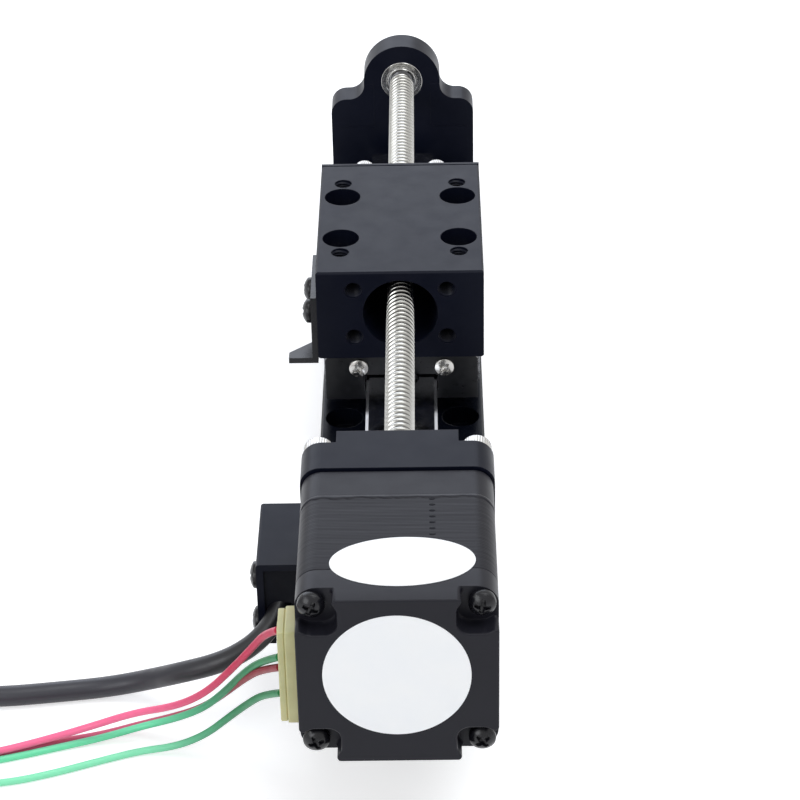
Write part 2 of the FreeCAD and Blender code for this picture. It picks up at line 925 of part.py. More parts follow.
def motor_front_bell():
    length = FRONT_Y - STACK_END_Y
    bell = Piece("motor_front_bell", 0, STACK_END_Y, AXIS_Z)
    bell.pad(square_profile(bell, s.motor_size, s.motor_corner), length, "XZ")
    bell.pad(
        bell.circles("XZ", [(0, 0)], s.pilot_dia, at=length), s.pilot_height, "XZ"
    )
    axis = [(0, 0)]
    bell.drill_ahead(axis, s.bell_cavity_dia, 0, length - s.bell_wall)
    bell.drill_ahead(
        axis, s.motor_bearing_dia, length - s.bell_wall, s.motor_bearing_width
    )
    bell.drill_ahead(
        axis,
        s.motor_bearing_dia - 2 * s.motor_bearing_ledge,
        0,
        length + s.pilot_height,
    )
    # the body screws come from behind, the mounting screws from the front
    bell.drill_ahead(MOTOR_SCREWS, s.m25_dia, 0, length)


def stator_stack():
    """The laminated core: eight poles with broad tips, and the windows between them."""
    stack = Piece("stator_stack", 0, STACK_START_Y, AXIS_Z)
    stack.pad(square_profile(stack, s.motor_size, s.motor_corner), s.stack_length, "XZ")
    bore = s.rotor_dia + 2 * s.air_gap
    stack.drill_ahead([(0, 0)], bore, 0, s.stack_length)
    stack.drill_ahead(MOTOR_SCREWS, s.m25_dia, 0, s.stack_length)
    inner = bore / 2 + s.pole_tip
    outer = inner + s.slot_depth
    # one window, pointing along +X between two poles
    narrow = inner * math.sin(math.pi / 8) - s.pole_width / 2
    wide = outer * math.sin(math.pi / 8) - s.pole_width / 2
    mouth = s.slot_mouth / 2
    start = s.rotor_dia / 2 - s.air_gap
    lip = inner * math.cos(math.pi / 8) + s.pole_tip_edge
    x_out = outer * math.cos(math.pi / 8)
    window = [
        (start, -mouth),
        (lip, -mouth),
        (lip, -narrow),
        (x_out, -wide),
        (x_out, wide),
        (lip, narrow),
        (lip, mouth),
        (start, mouth),
    ]
    stack.cut(stack.outline("XZ", window), s.stack_length, False)
    pocket = stack.body.Tip
    pattern = stack.body.newObject("PartDesign::PolarPattern", "stator_window_pattern")
    pattern.Originals = [pocket]
    axis = [o for o in stack.body.Origin.OriginFeatures if o.Role == "Y_Axis"]
    pattern.Axis = (axis[0], [""])
    pattern.Angle = 360
    pattern.Occurrences = 8
    stack.body.Tip = pattern
    doc.recompute()
    return stack


def stator_windings():
    """A coil round each of the eight poles."""
    inner = s.rotor_dia / 2 + s.air_gap + s.pole_tip + s.pole_tip_edge + s.coil_gap
    coils = []
    for k in range(8):
        name = f"stator_coil_{k + 1}"
        outer = doc.addObject("Part::Box", f"{name}_outer")
        hole = doc.addObject("Part::Box", f"{name}_pole")
        widths = (
            s.pole_width + 2 * (s.coil_wall + s.coil_gap),
            s.pole_width + 2 * s.coil_gap,
        )
        lengths = (
            s.stack_length + 2 * (s.coil_wall + s.coil_gap),
            s.stack_length + 2 * s.coil_gap,
        )
        for box, width, length in zip((outer, hole), widths, lengths):
            bind(box, "Length", s.coil_height)
            bind(box, "Width", length)
            bind(box, "Height", width)
            put(box, inner, -(length / 2), -(width / 2))
        coil = doc.addObject("Part::Cut", name)
        coil.Base = outer
        coil.Tool = hole
        turn = FreeCAD.Rotation(TRAVEL_AXIS, 22.5 + 45 * k)
        coil.Placement = FreeCAD.Placement(FreeCAD.Vector(), turn)
        coils.append(put(coil, 0, STACK_MIDDLE_Y, AXIS_Z))
    group("stator_windings", coils)


def motor_body_screws():
    places = shifted(MOTOR_SCREWS, y=AXIS_Z)
    screws(
        "motor_body_screws",
        lambda name: pan_screw(
            name, s.pan_head_dia, s.body_head_height, s.m25_dia, s.body_screw_length
        ),
        HEAD_BACK,
        [(x, MOTOR_BACK_Y + s.corner_recess_depth, z) for x, z in places],
    )


BALLS = 7
# how far each ring reaches over the balls, as a share of their diameter
RACE_SHARE = 0.28


def bearing(prefix, centre_y, bore, outer_dia, width, ball):
    """A deep groove ball bearing: its outer ring, its inner ring and its balls."""
    pitch = (bore + outer_dia) / 4
    groove = ball / 2 + s.ball_clearance
    race_half = ball * RACE_SHARE
    for name, wall_radius, race_radius, sign in (
        ("outer_ring", outer_dia / 2, pitch + race_half, 1),
        ("inner_ring", bore / 2, pitch - race_half, -1),
    ):
        piece = Piece(f"{prefix}_{name}", 0, centre_y, AXIS_Z)
        half = width / 2
        edge = race_radius
        low, high = (edge, wall_radius) if sign > 0 else (wall_radius, edge)
        piece.turn([(low, -half), (high, -half), (high, half), (low, half)])
        sketch = piece.circles("XY", [(pitch, 0)], 2 * groove)
        cut = piece.body.newObject("PartDesign::Groove", f"{prefix}_{name}_race")
        cut.Profile = sketch
        cut.ReferenceAxis = (sketch, ["V_Axis"])
        cut.Angle = 360
        doc.recompute()
    spheres = []
    for k in range(BALLS):
        angle = 2 * math.pi * k / BALLS
        sphere = doc.addObject("Part::Sphere", f"{prefix}_ball_{k + 1}")
        bind(sphere, "Radius", ball / 2)
        put(
            sphere,
            pitch * math.cos(angle),
            centre_y,
            AXIS_Z + pitch * math.sin(angle),
        )
        spheres.append(sphere)
    return spheres


def bearings():
    """Two bearings in the motor's bells and a smaller one in the end plate."""
    motor = (
        s.shaft_dia,
        s.motor_bearing_dia,
        s.motor_bearing_width,
        s.motor_ball_dia,
    )
    end = (s.journal_dia, s.end_bearing_dia, s.end_bearing_width, s.end_ball_dia)
    balls = bearing("motor_rear_bearing", REAR_BEARING_Y, *motor)
    balls += bearing("motor_front_bearing", FRONT_BEARING_Y, *motor)
    balls += bearing("end_bearing", END_BEARING_Y, *end)
    group("bearing_balls", balls)


def end_bearing_shields():
    """The thin rings that close the end bearing on both sides."""
    pitch = (s.journal_dia + s.end_bearing_dia) / 4
    outer = pitch + s.end_ball_dia * RACE_SHARE
    # a little clear of the inner ring
    inner = pitch - s.end_ball_dia * RACE_SHARE + s.screw_fit
    half = s.end_bearing_width / 2
    discs = []
    for name, start in (("front", -half), ("rear", half - s.shield_thickness)):
        disc = Piece(f"end_bearing_shield_{name}", 0, END_BEARING_Y, AXIS_Z)
        end = start + s.shield_thickness
        disc.turn([(inner, start), (outer, start), (outer, end), (inner, end)])
        discs.append(disc.body)
    group("end_bearing_shields", discs)


def motor_mount_plate():
    """The plate that stands the motor on the base, with a raised block in the middle behind it."""
    plate = Piece("motor_mount_plate", 0, FRONT_Y, s.base_thickness)
    top = s.axis_height + s.mount_top
    plate.pad(
        plate.rectangle("XZ", s.base_width, 0, top), s.mount_thickness, "XZ"
    )
    plate.fillet(
        s.mount_corner,
        lambda edge: along(edge, TRAVEL_AXIS) and near(middle(edge).z, top),
    )
    plate.pad(
        plate.rectangle("XZ", s.mount_block_width, 0, top, at=s.mount_thickness),
        s.mount_block_depth,
        "XZ",
    )
    axis = [(0, s.axis_height)]
    depth = s.mount_thickness + s.mount_block_depth
    plate.drill_ahead(
        axis,
        s.pilot_dia + 2 * s.pilot_clearance,
        0,
        s.pilot_height + s.pilot_clearance,
    )
    plate.drill_ahead(axis, s.mount_shaft_hole_dia, 0, depth)
    plate.drill_ahead(
        shifted(MOTOR_SCREWS, y=s.axis_height), s.nut_hole_dia, 0, s.mount_thickness
    )
    feet = [(x, s.plate_screw_inset) for x, _ in PLATE_SCREW_PLACES[:2]]
    plate.drill_up(feet, s.m3_dia, 0, s.plate_screw_reach - s.base_thickness)


def motor_mounting_screws():
    places = shifted(MOTOR_SCREWS, y=AXIS_Z)
    screws(
        "motor_mounting_screws",
        lambda name: cap_screw(name, "m25", s.mounting_screw_length),
        HEAD_AHEAD,
        [(x, MOUNT_REAR_Y, z) for x, z in places],
    )


def end_bearing_plate():
    """The end plate: low shoulders and a round hump that holds the bearing."""
    plate = Piece("end_bearing_plate", 0, END_FRONT_Y, s.base_thickness)
    shoulder = s.axis_height - s.shoulder_drop
    thickness = s.end_thickness
    plate.pad(plate.rectangle("XZ", s.base_width, 0, shoulder), thickness, "XZ")
    plate.fillet(
        s.end_corner,
        lambda edge: along(edge, TRAVEL_AXIS) and near(middle(edge).z, shoulder),
    )
    axis = [(0, s.axis_height)]
    plate.pad(plate.circles("XZ", axis, 2 * s.hump_radius), thickness, "XZ")
    half_foot = math.sqrt(s.hump_radius.value**2 - s.shoulder_drop.value**2)
    plate.fillet(
        s.hump_fillet,
        lambda edge: along(edge, TRAVEL_AXIS)
        and near(middle(edge).z, shoulder)
        and near(abs(middle(edge).x), half_foot),
    )
    plate.drill_ahead(axis, s.end_bearing_dia, 0, s.end_bearing_width)
    ledge = s.end_bearing_dia - 2 * s.end_bearing_ledge
    plate.drill_ahead(axis, ledge, 0, thickness)
    feet = [(x, thickness - s.plate_screw_inset) for x, _ in PLATE_SCREW_PLACES[2:]]
    plate.drill_up(feet, s.m3_dia, 0, s.plate_screw_reach - s.base_thickness)


def plate_screws():
    """The screws that hold both upright plates, from under the base."""
    seat = s.base_counterbore_depth
    length = s.plate_screw_reach - seat - s.tapped_hole_play
    for label, places in (
        ("mount_plate_screws", PLATE_SCREW_PLACES[:2]),
        ("end_plate_screws", PLATE_SCREW_PLACES[2:]),
    ):
        screws(
            label,
            lambda name: cap_screw(name, "m3", length),
            HEAD_DOWN,
            [(x, y, seat) for x, y in places],
        )


def rail_screws():
    seat = RAIL_TOP_Z - s.rail_counterbore_depth
    length = seat - s.rail_screw_floor - s.tapped_hole_play
    screws(
        "rail_screws",
        lambda name: cap_screw(name, "m3", length),
        HEAD_UP,
        [(x, y, seat) for x, y in RAIL_HOLES],
    )


FLAG_X = -(s.carriage_width / 2) - s.sheet_thickness


def sensor_flag():
    """A bent sheet: a plate on the carriage's side and a slanted tab that enters the sensor."""
    flag = Piece("sensor_flag", FLAG_X, CARRIAGE_FRONT_Y, AXIS_Z)
    low, high = -(s.flag_height + s.sheet_thickness / 2), s.flag_plate_rise
    length = s.flag_plate_length
    plate = [(0, low), (length, low), (length, high), (0, high)]
    flag.pad(flag.outline("YZ", plate), s.sheet_thickness, "YZ")
    tab = [
        (0, 0),
        (0, s.flag_root),
        (-s.flag_reach, s.flag_tip),
        (-s.flag_reach, 0),
    ]
    flag.pad(flag.outline("XY", tab, at=low), s.sheet_thickness, "XY")
    holes = [
        (s.flag_screw_inset + i * s.flag_screw_pitch, -s.flag_screw_drop) for i in (0, 1)
    ]
    flag.drill_right(holes, s.nut_hole_dia, 0, s.sheet_thickness)


def flag_screws():
    screws(
        "flag_screws",
        lambda name: pan_screw(
            name,
            s.pan_head_dia,
            s.pan_head_height,
            s.m25_dia,
            s.flag_hole_depth + s.sheet_thickness - s.tapped_hole_play,
        ),
        HEAD_LEFT,
        [
            (
                FLAG_X,
                CARRIAGE_FRONT_Y + s.flag_screw_inset + i * s.flag_screw_pitch,
                AXIS_Z - s.flag_screw_drop,
            )
            for i in (0, 1)
        ],
    )


SENSOR_RIGHT_X = -(s.base_width / 2)
SENSOR_LEFT_X = SENSOR_RIGHT_X - s.sensor_box_width
SENSOR_FRONT_Y = FRONT_Y + s.sensor_box_start
SENSOR_TOP_Z = AXIS_Z - s.sensor_box_top
SENSOR_SCREW_Y = SENSOR_FRONT_Y + s.sensor_screw_inset
SENSOR_SCREW_Z = [SENSOR_TOP_Z - s.sensor_screw_drop - i * s.sensor_screw_pitch for i in (0, 1)]
SENSOR_BODY_TOP_Z = SENSOR_TOP_Z - s.sensor_body_drop


def sensor_bracket():
    """A folded cover: a roof and an outer wall, with a leg that holds it to the mount plate."""
    cover = Piece("sensor_bracket", SENSOR_LEFT_X, SENSOR_FRONT_Y, SENSOR_TOP_Z)
    wall, width, height = s.sensor_wall, s.sensor_box_width, s.sensor_box_height
    # the roof stops short of the flag's plate
    roof = width - s.sheet_thickness - s.sensor_flag_gap
    section = [
        (0, 0),
        (0, -height),
        (wall, -height),
        (wall, -wall),
        (roof, -wall),
        (roof, 0),
    ]
    cover.pad(cover.outline("XZ", section), s.sensor_box_length, "XZ")
    leg = [
        (roof, 0),
        (roof, -wall),
        (width - s.sensor_leg_wall, -wall),
        (width - s.sensor_leg_wall, -height),
        (width, -height),
        (width, 0),
    ]
    reach = s.mount_thickness - s.sensor_box_start
    cover.pad(cover.outline("XZ", leg), reach, "XZ")
    cover.fillet(
        s.sensor_edge_round,
        lambda edge: along(edge, TRAVEL_AXIS)
        and near(middle(edge).x, 0)
        and near(middle(edge).z, 0),
    )
    holes = [(s.sensor_screw_inset, z - SENSOR_TOP_Z) for z in SENSOR_SCREW_Z]
    cover.drill_right(holes, s.nut_hole_dia, 0, wall)


def sensor_body():
    """The slotted light gate; its slot runs along the travel and is open towards the carriage."""
    left = SENSOR_LEFT_X + s.sensor_wall
    width = s.sensor_body_width
    body = Piece("sensor_body", left, SENSOR_FRONT_Y + s.sensor_recess, SENSOR_BODY_TOP_Z)
    outline = [
        (0, -s.sensor_body_height),
        (width, -s.sensor_body_height),
        (width, 0),
        (0, 0),
    ]
    body.pad(body.outline("XZ", outline), s.sensor_body_length, "XZ")
    middle_z = AXIS_Z - s.flag_height - SENSOR_BODY_TOP_Z
    half = s.sensor_slot / 2
    slot = [
        (s.sensor_web, middle_z - half),
        (width, middle_z - half),
        (width, middle_z + half),
        (s.sensor_web, middle_z + half),
    ]
    body.cut(body.outline("XZ", slot), s.sensor_body_length, False)


def sensor_screws():
    screws(
        "sensor_screws",
        lambda name: pan_screw(
            name, s.pan_head_dia, s.sensor_head_height, s.m25_dia, s.sensor_wall
        ),
        HEAD_LEFT,
        [(SENSOR_LEFT_X, SENSOR_SCREW_Y, z) for z in SENSOR_SCREW_Z],
    )


HEADER_X = -(s.motor_size / 2) - s.header_reach
PLUG_X = HEADER_X - s.plug_reach


def motor_connector():
    """The header on the motor's side and the plug in it."""
    header = Piece("motor_connector_header", HEADER_X, MOTOR_BACK_Y, AXIS_Z)
    low = s.header_start
    high = low + s.header_depth
    half = s.header_height / 2
    header.pad(
        header.outline("YZ", [(low, -half), (high, -half), (high, half), (low, half)]),
        s.header_reach,
        "YZ",
    )
    plug = Piece("motor_plug", PLUG_X, MOTOR_BACK_Y, AXIS_Z)
    inset = (s.header_depth - s.plug_depth) / 2
    half = s.plug_height / 2
    low, high = low + inset, high - inset
    plug.pad(
        plug.outline("YZ", [(low, -half), (high, -half), (high, half), (low, half)]),
        s.plug_reach,
        "YZ",
    )


# Cords
PLUG_ROUND = 0.4
LEADS_PLUG_SIZE = (7.2, 6.8, 4.0)
CABLE_PLUG_SIZE = (10.0, 7.6, 5.0)
PLUG_SHIFT = 0.6


def tube(label, points, diameter):
    """A cord's tube: straight runs joined by arcs that touch them, swept with a round section."""
    places = [FreeCAD.Vector(*p) for p in points]
    edges = []
    start = places[0]
    radii = []
    for before, corner, after in zip(places, places[1:], places[2:]):
        into = (corner - before).normalize()
        out = (after - corner).normalize()
        turn = math.acos(max(-1.0, min(1.0, into.dot(out))))
        reach = 0.45 * min((corner - before).Length, (after - corner).Length)
        radii.append(reach / math.tan(turn / 2))
        first, last = corner - into * reach, corner + out * reach
        inward = (out - into).normalize()
        to_centre = math.hypot(reach, radii[-1])
        halfway = corner + inward * (to_centre - radii[-1])
        edges.append(Part.LineSegment(start, first).toShape())
        edges.append(Part.Arc(first, halfway, last).toShape())
        start = last
    edges.append(Part.LineSegment(start, places[-1]).toShape())
    path = Part.Wire(edges)
    section = Part.Wire(
        Part.Circle(places[0], places[1] - places[0], diameter / 2).toShape()
    )
    solid = path.makePipeShell([section], True, False)
    solid = Part.Solid(solid) if solid.ShapeType == "Shell" else solid
    wanted = math.pi * diameter**2 / 4 * path.Length
    print(
        f"{label}: length {path.Length:.1f}, tightest radius {min(radii):.1f}, "
        f"volume {solid.Volume:.1f} of {wanted:.1f}"
    )
    if abs(solid.Volume - wanted) > 0.01 * wanted:
        raise ValueError(f"{label} has the wrong volume")
    feature = doc.addObject("Part::Feature", label)
    feature.Label = label
    feature.Shape = solid


def coil(label, centre, hole, radius, height):
    """The outer shape of a cord wound up flat on the floor."""
    rings = []
    for name, size in (("outer", radius), ("hole", hole)):
        ring = doc.addObject("Part::Cylinder", f"{label}_{name}")
        bind(ring, "Radius", size)
        bind(ring, "Height", height)
        rings.append(put(ring, *centre))
    wound = doc.addObject("Part::Cut", label)
    wound.Base, wound.Tool = rings


def cord_plug(label, centre, size):
    """The small housing on a cord's end; it lies against the inside of the coil."""
    plug = Piece(label, *centre)
    length, width, height = size
    plug.pad(plug.rectangle("XY", width, 0, length), height, "XY")
    plug.fillet(PLUG_ROUND, lambda edge: along(edge, UP))


MOTOR_LEADS = {
    "motor_lead_1": [
        (-17.0, -106.2, 33.8),
        (-19.4, -106.4, 32.4),
        (-21.0, -105.9, 29.6),
        (-23.5, -104.7, 25.2),
        (-26.5, -101.3, 19.9),
        (-31.9, -95.4, 12.2),
        (-39.4, -90.6, 7.4),
        (-45.1, -87.1, 2.9),
        (-51.4, -86.6, 1.2),
        (-57.6, -89.1, 1.8),
        (-64.4, -91.6, 1.95),
        (-71.6, -92.5, 1.9),
        (-79.0, -92.6, 1.95),
    ],
    "motor_lead_2": [
        (-17.0, -106.2, 29.2),
        (-19.7, -106.7, 27.9),
        (-21.7, -105.9, 25.6),
        (-25.0, -105.2, 21.6),
        (-28.3, -102.1, 16.8),
        (-31.7, -96.3, 10.8),
        (-39.6, -90.7, 4.5),
        (-46.8, -89.1, 0.9),
        (-53.2, -90.0, 0.65),
        (-59.2, -92.5, 0.7),
        (-65.6, -93.8, 0.65),
        (-72.2, -94.0, 0.7),
        (-79.0, -93.9, 0.65),
    ],
    "motor_lead_3": [
        (-17.0, -106.2, 27.4),
        (-19.8, -106.1, 26.2),
        (-21.5, -104.6, 24.0),
        (-24.6, -101.6, 19.6),
        (-29.9, -96.9, 12.9),
        (-34.8, -90.9, 6.1),
        (-43.0, -87.7, 2.3),
        (-49.2, -87.5, 0.8),
        (-55.2, -89.2, 0.65),
        (-61.4, -91.4, 0.7),
        (-67.4, -92.6, 0.65),
        (-73.0, -92.7, 0.7),
        (-79.0, -92.6, 0.65),
    ],
    "motor_lead_4": [
        (-17.0, -106.2, 22.9),
        (-19.9, -106.2, 21.6),
        (-21.7, -104.8, 19.4),
        (-24.7, -102.6, 15.3),
        (-29.0, -98.8, 9.3),
        (-34.0, -93.6, 3.5),
        (-40.3, -91.7, 0.7),
        (-46.4, -94.0, 0.65),
        (-52.4, -96.0, 0.7),
        (-59.0, -97.6, 0.7),
        (-65.6, -96.4, 1.4),
        (-72.2, -94.3, 1.95),
        (-79.0, -93.9, 1.95),
    ],
}
LEAD_COIL_CENTRE = (-79.0, -106.9, 0.05)
SENSOR_CABLE = [
    (-17.8, -76.3, 17.2),
    (-19.0, -79.4, 16.5),
    (-21.0, -82.0, 15.1),
    (-23.8, -83.9, 12.9),
    (-27.6, -84.5, 11.0),
    (-33.0, -82.6, 8.0),
    (-37.6, -78.3, 4.1),
    (-44.5, -76.6, 1.6),
    (-53.0, -76.8, 1.45),
    (-61.4, -78.2, 1.5),
    (-70.0, -77.4, 1.45),
    (-78.6, -77.3, 1.5),
    (-86.0, -77.6, 1.45),
]
CABLE_COIL_CENTRE = (-86.0, -60.2, 0.05)


def cords():
    lead, cable = s.lead_dia.value, s.cable_dia.value
    for label, points in MOTOR_LEADS.items():
        tube(label, points, lead)
    tube("sensor_cable", SENSOR_CABLE, cable)
    for name, centre, kind, plug_size in (
        ("motor_leads", LEAD_COIL_CENTRE, "lead", LEADS_PLUG_SIZE),
        ("sensor_cable", CABLE_COIL_CENTRE, "cable", CABLE_PLUG_SIZE),
    ):
        hole, radius, height = (
            getattr(s, f"{kind}_coil_{part}") for part in ("hole", "radius", "height")
        )
        coil(f"{name}_coil", centre, hole, radius, height)
        x, y, z = centre
        cord_plug(f"{name}_plug", (x, y - PLUG_SHIFT, z), plug_size)


base_plate()
linear_rail()
rail_screws()
guide_block()
guide_end_caps()
end_cap_screws()
carriage_block()
carriage_screws()
lead_nut()
nut_screws()
lead_screw()
rotor()
motor_rear_bell()
motor_front_bell()
stator_stack()
stator_windings()
motor_body_screws()
bearings()
end_bearing_shields()
motor_mount_plate()
motor_mounting_screws()
end_bearing_plate()
plate_screws()
sensor_flag()
flag_screws()
sensor_bracket()
sensor_body()
sensor_screws()
motor_connector()
cords()
doc.recompute()

NODES = [
    "base_plate",
    "linear_rail",
    "rail_screws",
    "guide_block",
    "guide_end_caps",
    "end_cap_screws",
    "carriage_block",
    "carriage_screws",
    "lead_nut",
    "nut_screws",
    "lead_screw",
    "rotor_cups",
    "rotor_magnet",
    "motor_rear_bell",
    "motor_front_bell",
    "stator_stack",
    "stator_windings",
    "motor_body_screws",
    "motor_rear_bearing_outer_ring",
    "motor_rear_bearing_inner_ring",
    "motor_front_bearing_outer_ring",
    "motor_front_bearing_inner_ring",
    "end_bearing_outer_ring",
    "end_bearing_inner_ring",
    "end_bearing_shields",
    "bearing_balls",
    "motor_mount_plate",
    "motor_mounting_screws",
    "mount_plate_screws",
    "end_bearing_plate",
    "end_plate_screws",
    "sensor_flag",
    "flag_screws",
    "sensor_bracket",
    "sensor_body",
    "sensor_screws",
    "motor_connector_header",
    "motor_plug",
    "sensor_cable",
    "sensor_cable_coil",
    "sensor_cable_plug",
    *MOTOR_LEADS,
    "motor_leads_coil",
    "motor_leads_plug",
]

for thing in doc.Objects:
    if {"Invalid", "Error"} & set(thing.State):
        raise ValueError(f"{thing.Name} failed: {thing.State}")
os.makedirs("parts", exist_ok=True)
for label in NODES:
    node = doc.getObjectsByLabel(label)[0]
    if node.Shape.isNull() or not node.Shape.isValid():
        raise ValueError(f"{label} has no valid shape")
    node.Shape.exportStep(f"parts/{label}.step")
print(f"{len(NODES)} nodes written")
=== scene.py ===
"""The looks of the lead screw linear actuator: finishes, threads, fastener heads, labels, leads
and the sensor's cable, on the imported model. Places and sizes are in millimetres times MM."""

import math

import bmesh
import bpy
from mathutils import Matrix, Vector, noise


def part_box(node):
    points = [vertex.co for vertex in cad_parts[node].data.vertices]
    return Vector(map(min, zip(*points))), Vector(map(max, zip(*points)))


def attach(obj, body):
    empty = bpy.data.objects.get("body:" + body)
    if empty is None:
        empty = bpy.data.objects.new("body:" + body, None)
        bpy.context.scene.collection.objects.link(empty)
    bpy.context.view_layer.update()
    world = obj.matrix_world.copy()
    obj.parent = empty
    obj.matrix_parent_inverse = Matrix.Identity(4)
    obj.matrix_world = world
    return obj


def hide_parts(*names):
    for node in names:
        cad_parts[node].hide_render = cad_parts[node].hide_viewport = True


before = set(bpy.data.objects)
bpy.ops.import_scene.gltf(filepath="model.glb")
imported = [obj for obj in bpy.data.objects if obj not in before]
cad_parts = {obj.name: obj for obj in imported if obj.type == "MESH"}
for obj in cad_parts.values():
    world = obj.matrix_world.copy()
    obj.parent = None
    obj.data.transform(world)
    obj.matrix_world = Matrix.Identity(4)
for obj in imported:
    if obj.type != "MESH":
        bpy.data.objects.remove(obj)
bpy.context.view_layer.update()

MM = 0.001

# Places read from the frame
SCREW_LOW, SCREW_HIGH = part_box("lead_screw")
AXIS_Z = (SCREW_LOW.z + SCREW_HIGH.z) / 2
MOUNT_FRONT_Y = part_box("motor_mount_plate")[0].y
MOUNT_BACK_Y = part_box("motor_mount_plate")[1].y
END_FRONT_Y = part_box("end_bearing_plate")[0].y
CARRIAGE_LOW, CARRIAGE_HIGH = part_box("carriage_block")

# The object's own sizes that the pieces here share
MOTOR_HALF = 13.75 * MM
MOTOR_CORNER = 3 * MM
MOTOR_TOP_Z = AXIS_Z + MOTOR_HALF
MOTOR_BACK_Y = MOUNT_FRONT_Y - 31.5 * MM
CORE_START_Y = MOTOR_BACK_Y + 7.3 * MM
CORE_END_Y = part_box("motor_front_bell")[0].y
POCKET_FLOOR_Y = MOTOR_BACK_Y + 3.1 * MM
MOTOR_WALL = 1.0 * MM
MOTOR_SCREW_OFFSET = 11.5 * MM
THREAD_DIA = 4.77 * MM
THREAD_LEAD = 1.27 * MM
THREAD_STEPS = 32
CARRIAGE_BACK_Y = CARRIAGE_HIGH.y + 0.7 * MM
NUT_SEAT_Y = CARRIAGE_BACK_Y + 2.0 * MM
NUT_SCREW_X = 6.45 * MM
NUT_SCREW_Z = 4.81 * MM
PAN_RADIUS = 2.05 * MM
SENSOR_BOTTOM_Z = 9.9 * MM
SENSOR_SCREW_Z = (20.2 * MM, 11.9 * MM)
SENSOR_ARCH = (-16.9 * MM, 15.6 * MM, 1.9 * MM)
LEAD_DIA = 1.1 * MM
LEAD_HEIGHTS = [33.2 * MM, 28.6 * MM, 26.8 * MM, 22.3 * MM]
SPARE_HEIGHTS = [31.0 * MM, 24.6 * MM]
CABLE_DIA = 3.2 * MM

# Socket head screws: head radius, head height, key width and shank radius
M2 = (1.9 * MM, 2.0 * MM, 1.5 * MM, 1.0 * MM)
M25 = (2.25 * MM, 2.5 * MM, 2.0 * MM, 1.25 * MM)
M3 = (2.75 * MM, 3.0 * MM, 2.5 * MM, 1.5 * MM)
QUARTERS = ((1, 1), (-1, 1), (-1, -1), (1, -1))

# How a fastener drawn with its head along +Z is turned
HEAD_UP = Matrix.Identity(4)
HEAD_BACK = Matrix.Rotation(math.radians(90), 4, "X")
HEAD_AHEAD = Matrix.Rotation(math.radians(-90), 4, "X")
HEAD_LEFT = Matrix.Rotation(math.radians(-90), 4, "Y")


# Materials
def colour(red, green, blue):
    """A display colour from 0 to 255 as the linear colour that the shader takes."""

    def linear(value):
        value /= 255
        if value <= 0.04045:
            return value / 12.92
        return ((value + 0.055) / 1.055) ** 2.4

    return (linear(red), linear(green), linear(blue), 1.0)


class Finish:
    """A procedural material built up step by step from its shader."""

    def __init__(self, name, base, roughness, metallic=0.0, **sockets):
        self.material = bpy.data.materials.new(name)
        self.material.use_nodes = True
        self.tree = self.material.node_tree
        self.shader = self.tree.nodes["Principled BSDF"]
        self.base = base
        self.roughness = roughness
        self.set_inputs(self.shader, Base_Color=base, Roughness=roughness, Metallic=metallic)
        self.set_inputs(self.shader, **sockets)
        self.normal = None
        self.coordinates = self.node("TexCoord").outputs["Object"]

    def set_inputs(self, node, **values):
        for name, value in values.items():
            node.inputs[name.replace("_", " ")].default_value = value
        return node

    def node(self, kind, **values):
        """A new node with its inputs set by name."""
        return self.set_inputs(self.tree.nodes.new("ShaderNode" + kind), **values)

    def link(self, source, target):
        self.tree.links.new(source, target)

    def axes(self):
        """The object's X, Y and Z as separate sockets."""
        split = self.node("SeparateXYZ")
        self.link(self.coordinates, split.inputs[0])
        return split.outputs

    def math(self, operation, first, second=0.0):
        node = self.node("Math")
        node.operation = operation
        for socket, value in zip(node.inputs, (first, second)):
            if isinstance(value, (int, float)):
                socket.default_value = value
            else:
                self.link(value, socket)
        return node.outputs[0]

    def noise(self, size, detail=3.0, stretch=(1, 1, 1)):
        """Noise whose blotches are about this size, longer where the stretch is above 1."""
        mapping = self.node("Mapping", Scale=[1 / (size * s) for s in stretch])
        self.link(self.coordinates, mapping.inputs["Vector"])
        node = self.node("TexNoise", Scale=1.0, Detail=detail)
        self.link(mapping.outputs[0], node.inputs["Vector"])
        return node.outputs["Fac"]

    def spread(self, source, low, high, start=0.3, end=0.7):
        """Noise turned into a range of values."""
        node = self.node("MapRange", From_Min=start, From_Max=end, To_Min=low, To_Max=high)
        self.link(source, node.inputs["Value"])
        return node.outputs[0]

    def mottle(self, other, source, low=0.0, high=1.0):
        """Blend the colour towards another by a pattern."""
        mix = self.node("Mix")
        mix.data_type = "RGBA"
        current = self.shader.inputs["Base Color"]
        if current.links:
            self.link(current.links[0].from_socket, mix.inputs["A"])
        else:
            mix.inputs["A"].default_value = self.base
        mix.inputs[7].default_value = other
        self.link(self.spread(source, low, high), mix.inputs["Factor"])
        self.link(mix.outputs[2], current)
        return self

    def vary_roughness(self, source, amount):
        low, high = self.roughness - amount, self.roughness + amount
        self.link(self.spread(source, max(low, 0.02), high), self.shader.inputs["Roughness"])
        return self

    def soften(self, radius):
        """Edges catch the light as a small rounding does."""
        bevel = self.node("Bevel", Radius=radius)
        bevel.samples = 4
        self.normal = bevel.outputs[0]
        self.link(self.normal, self.shader.inputs["Normal"])
        return self

    def bump(self, source, distance, strength=1.0):
        node = self.node("Bump", Strength=strength, Distance=distance)
        self.link(source, node.inputs["Height"])
        if self.normal:
            self.link(self.normal, node.inputs["Normal"])
        self.normal = node.outputs[0]
        self.link(self.normal, self.shader.inputs["Normal"])
        return self


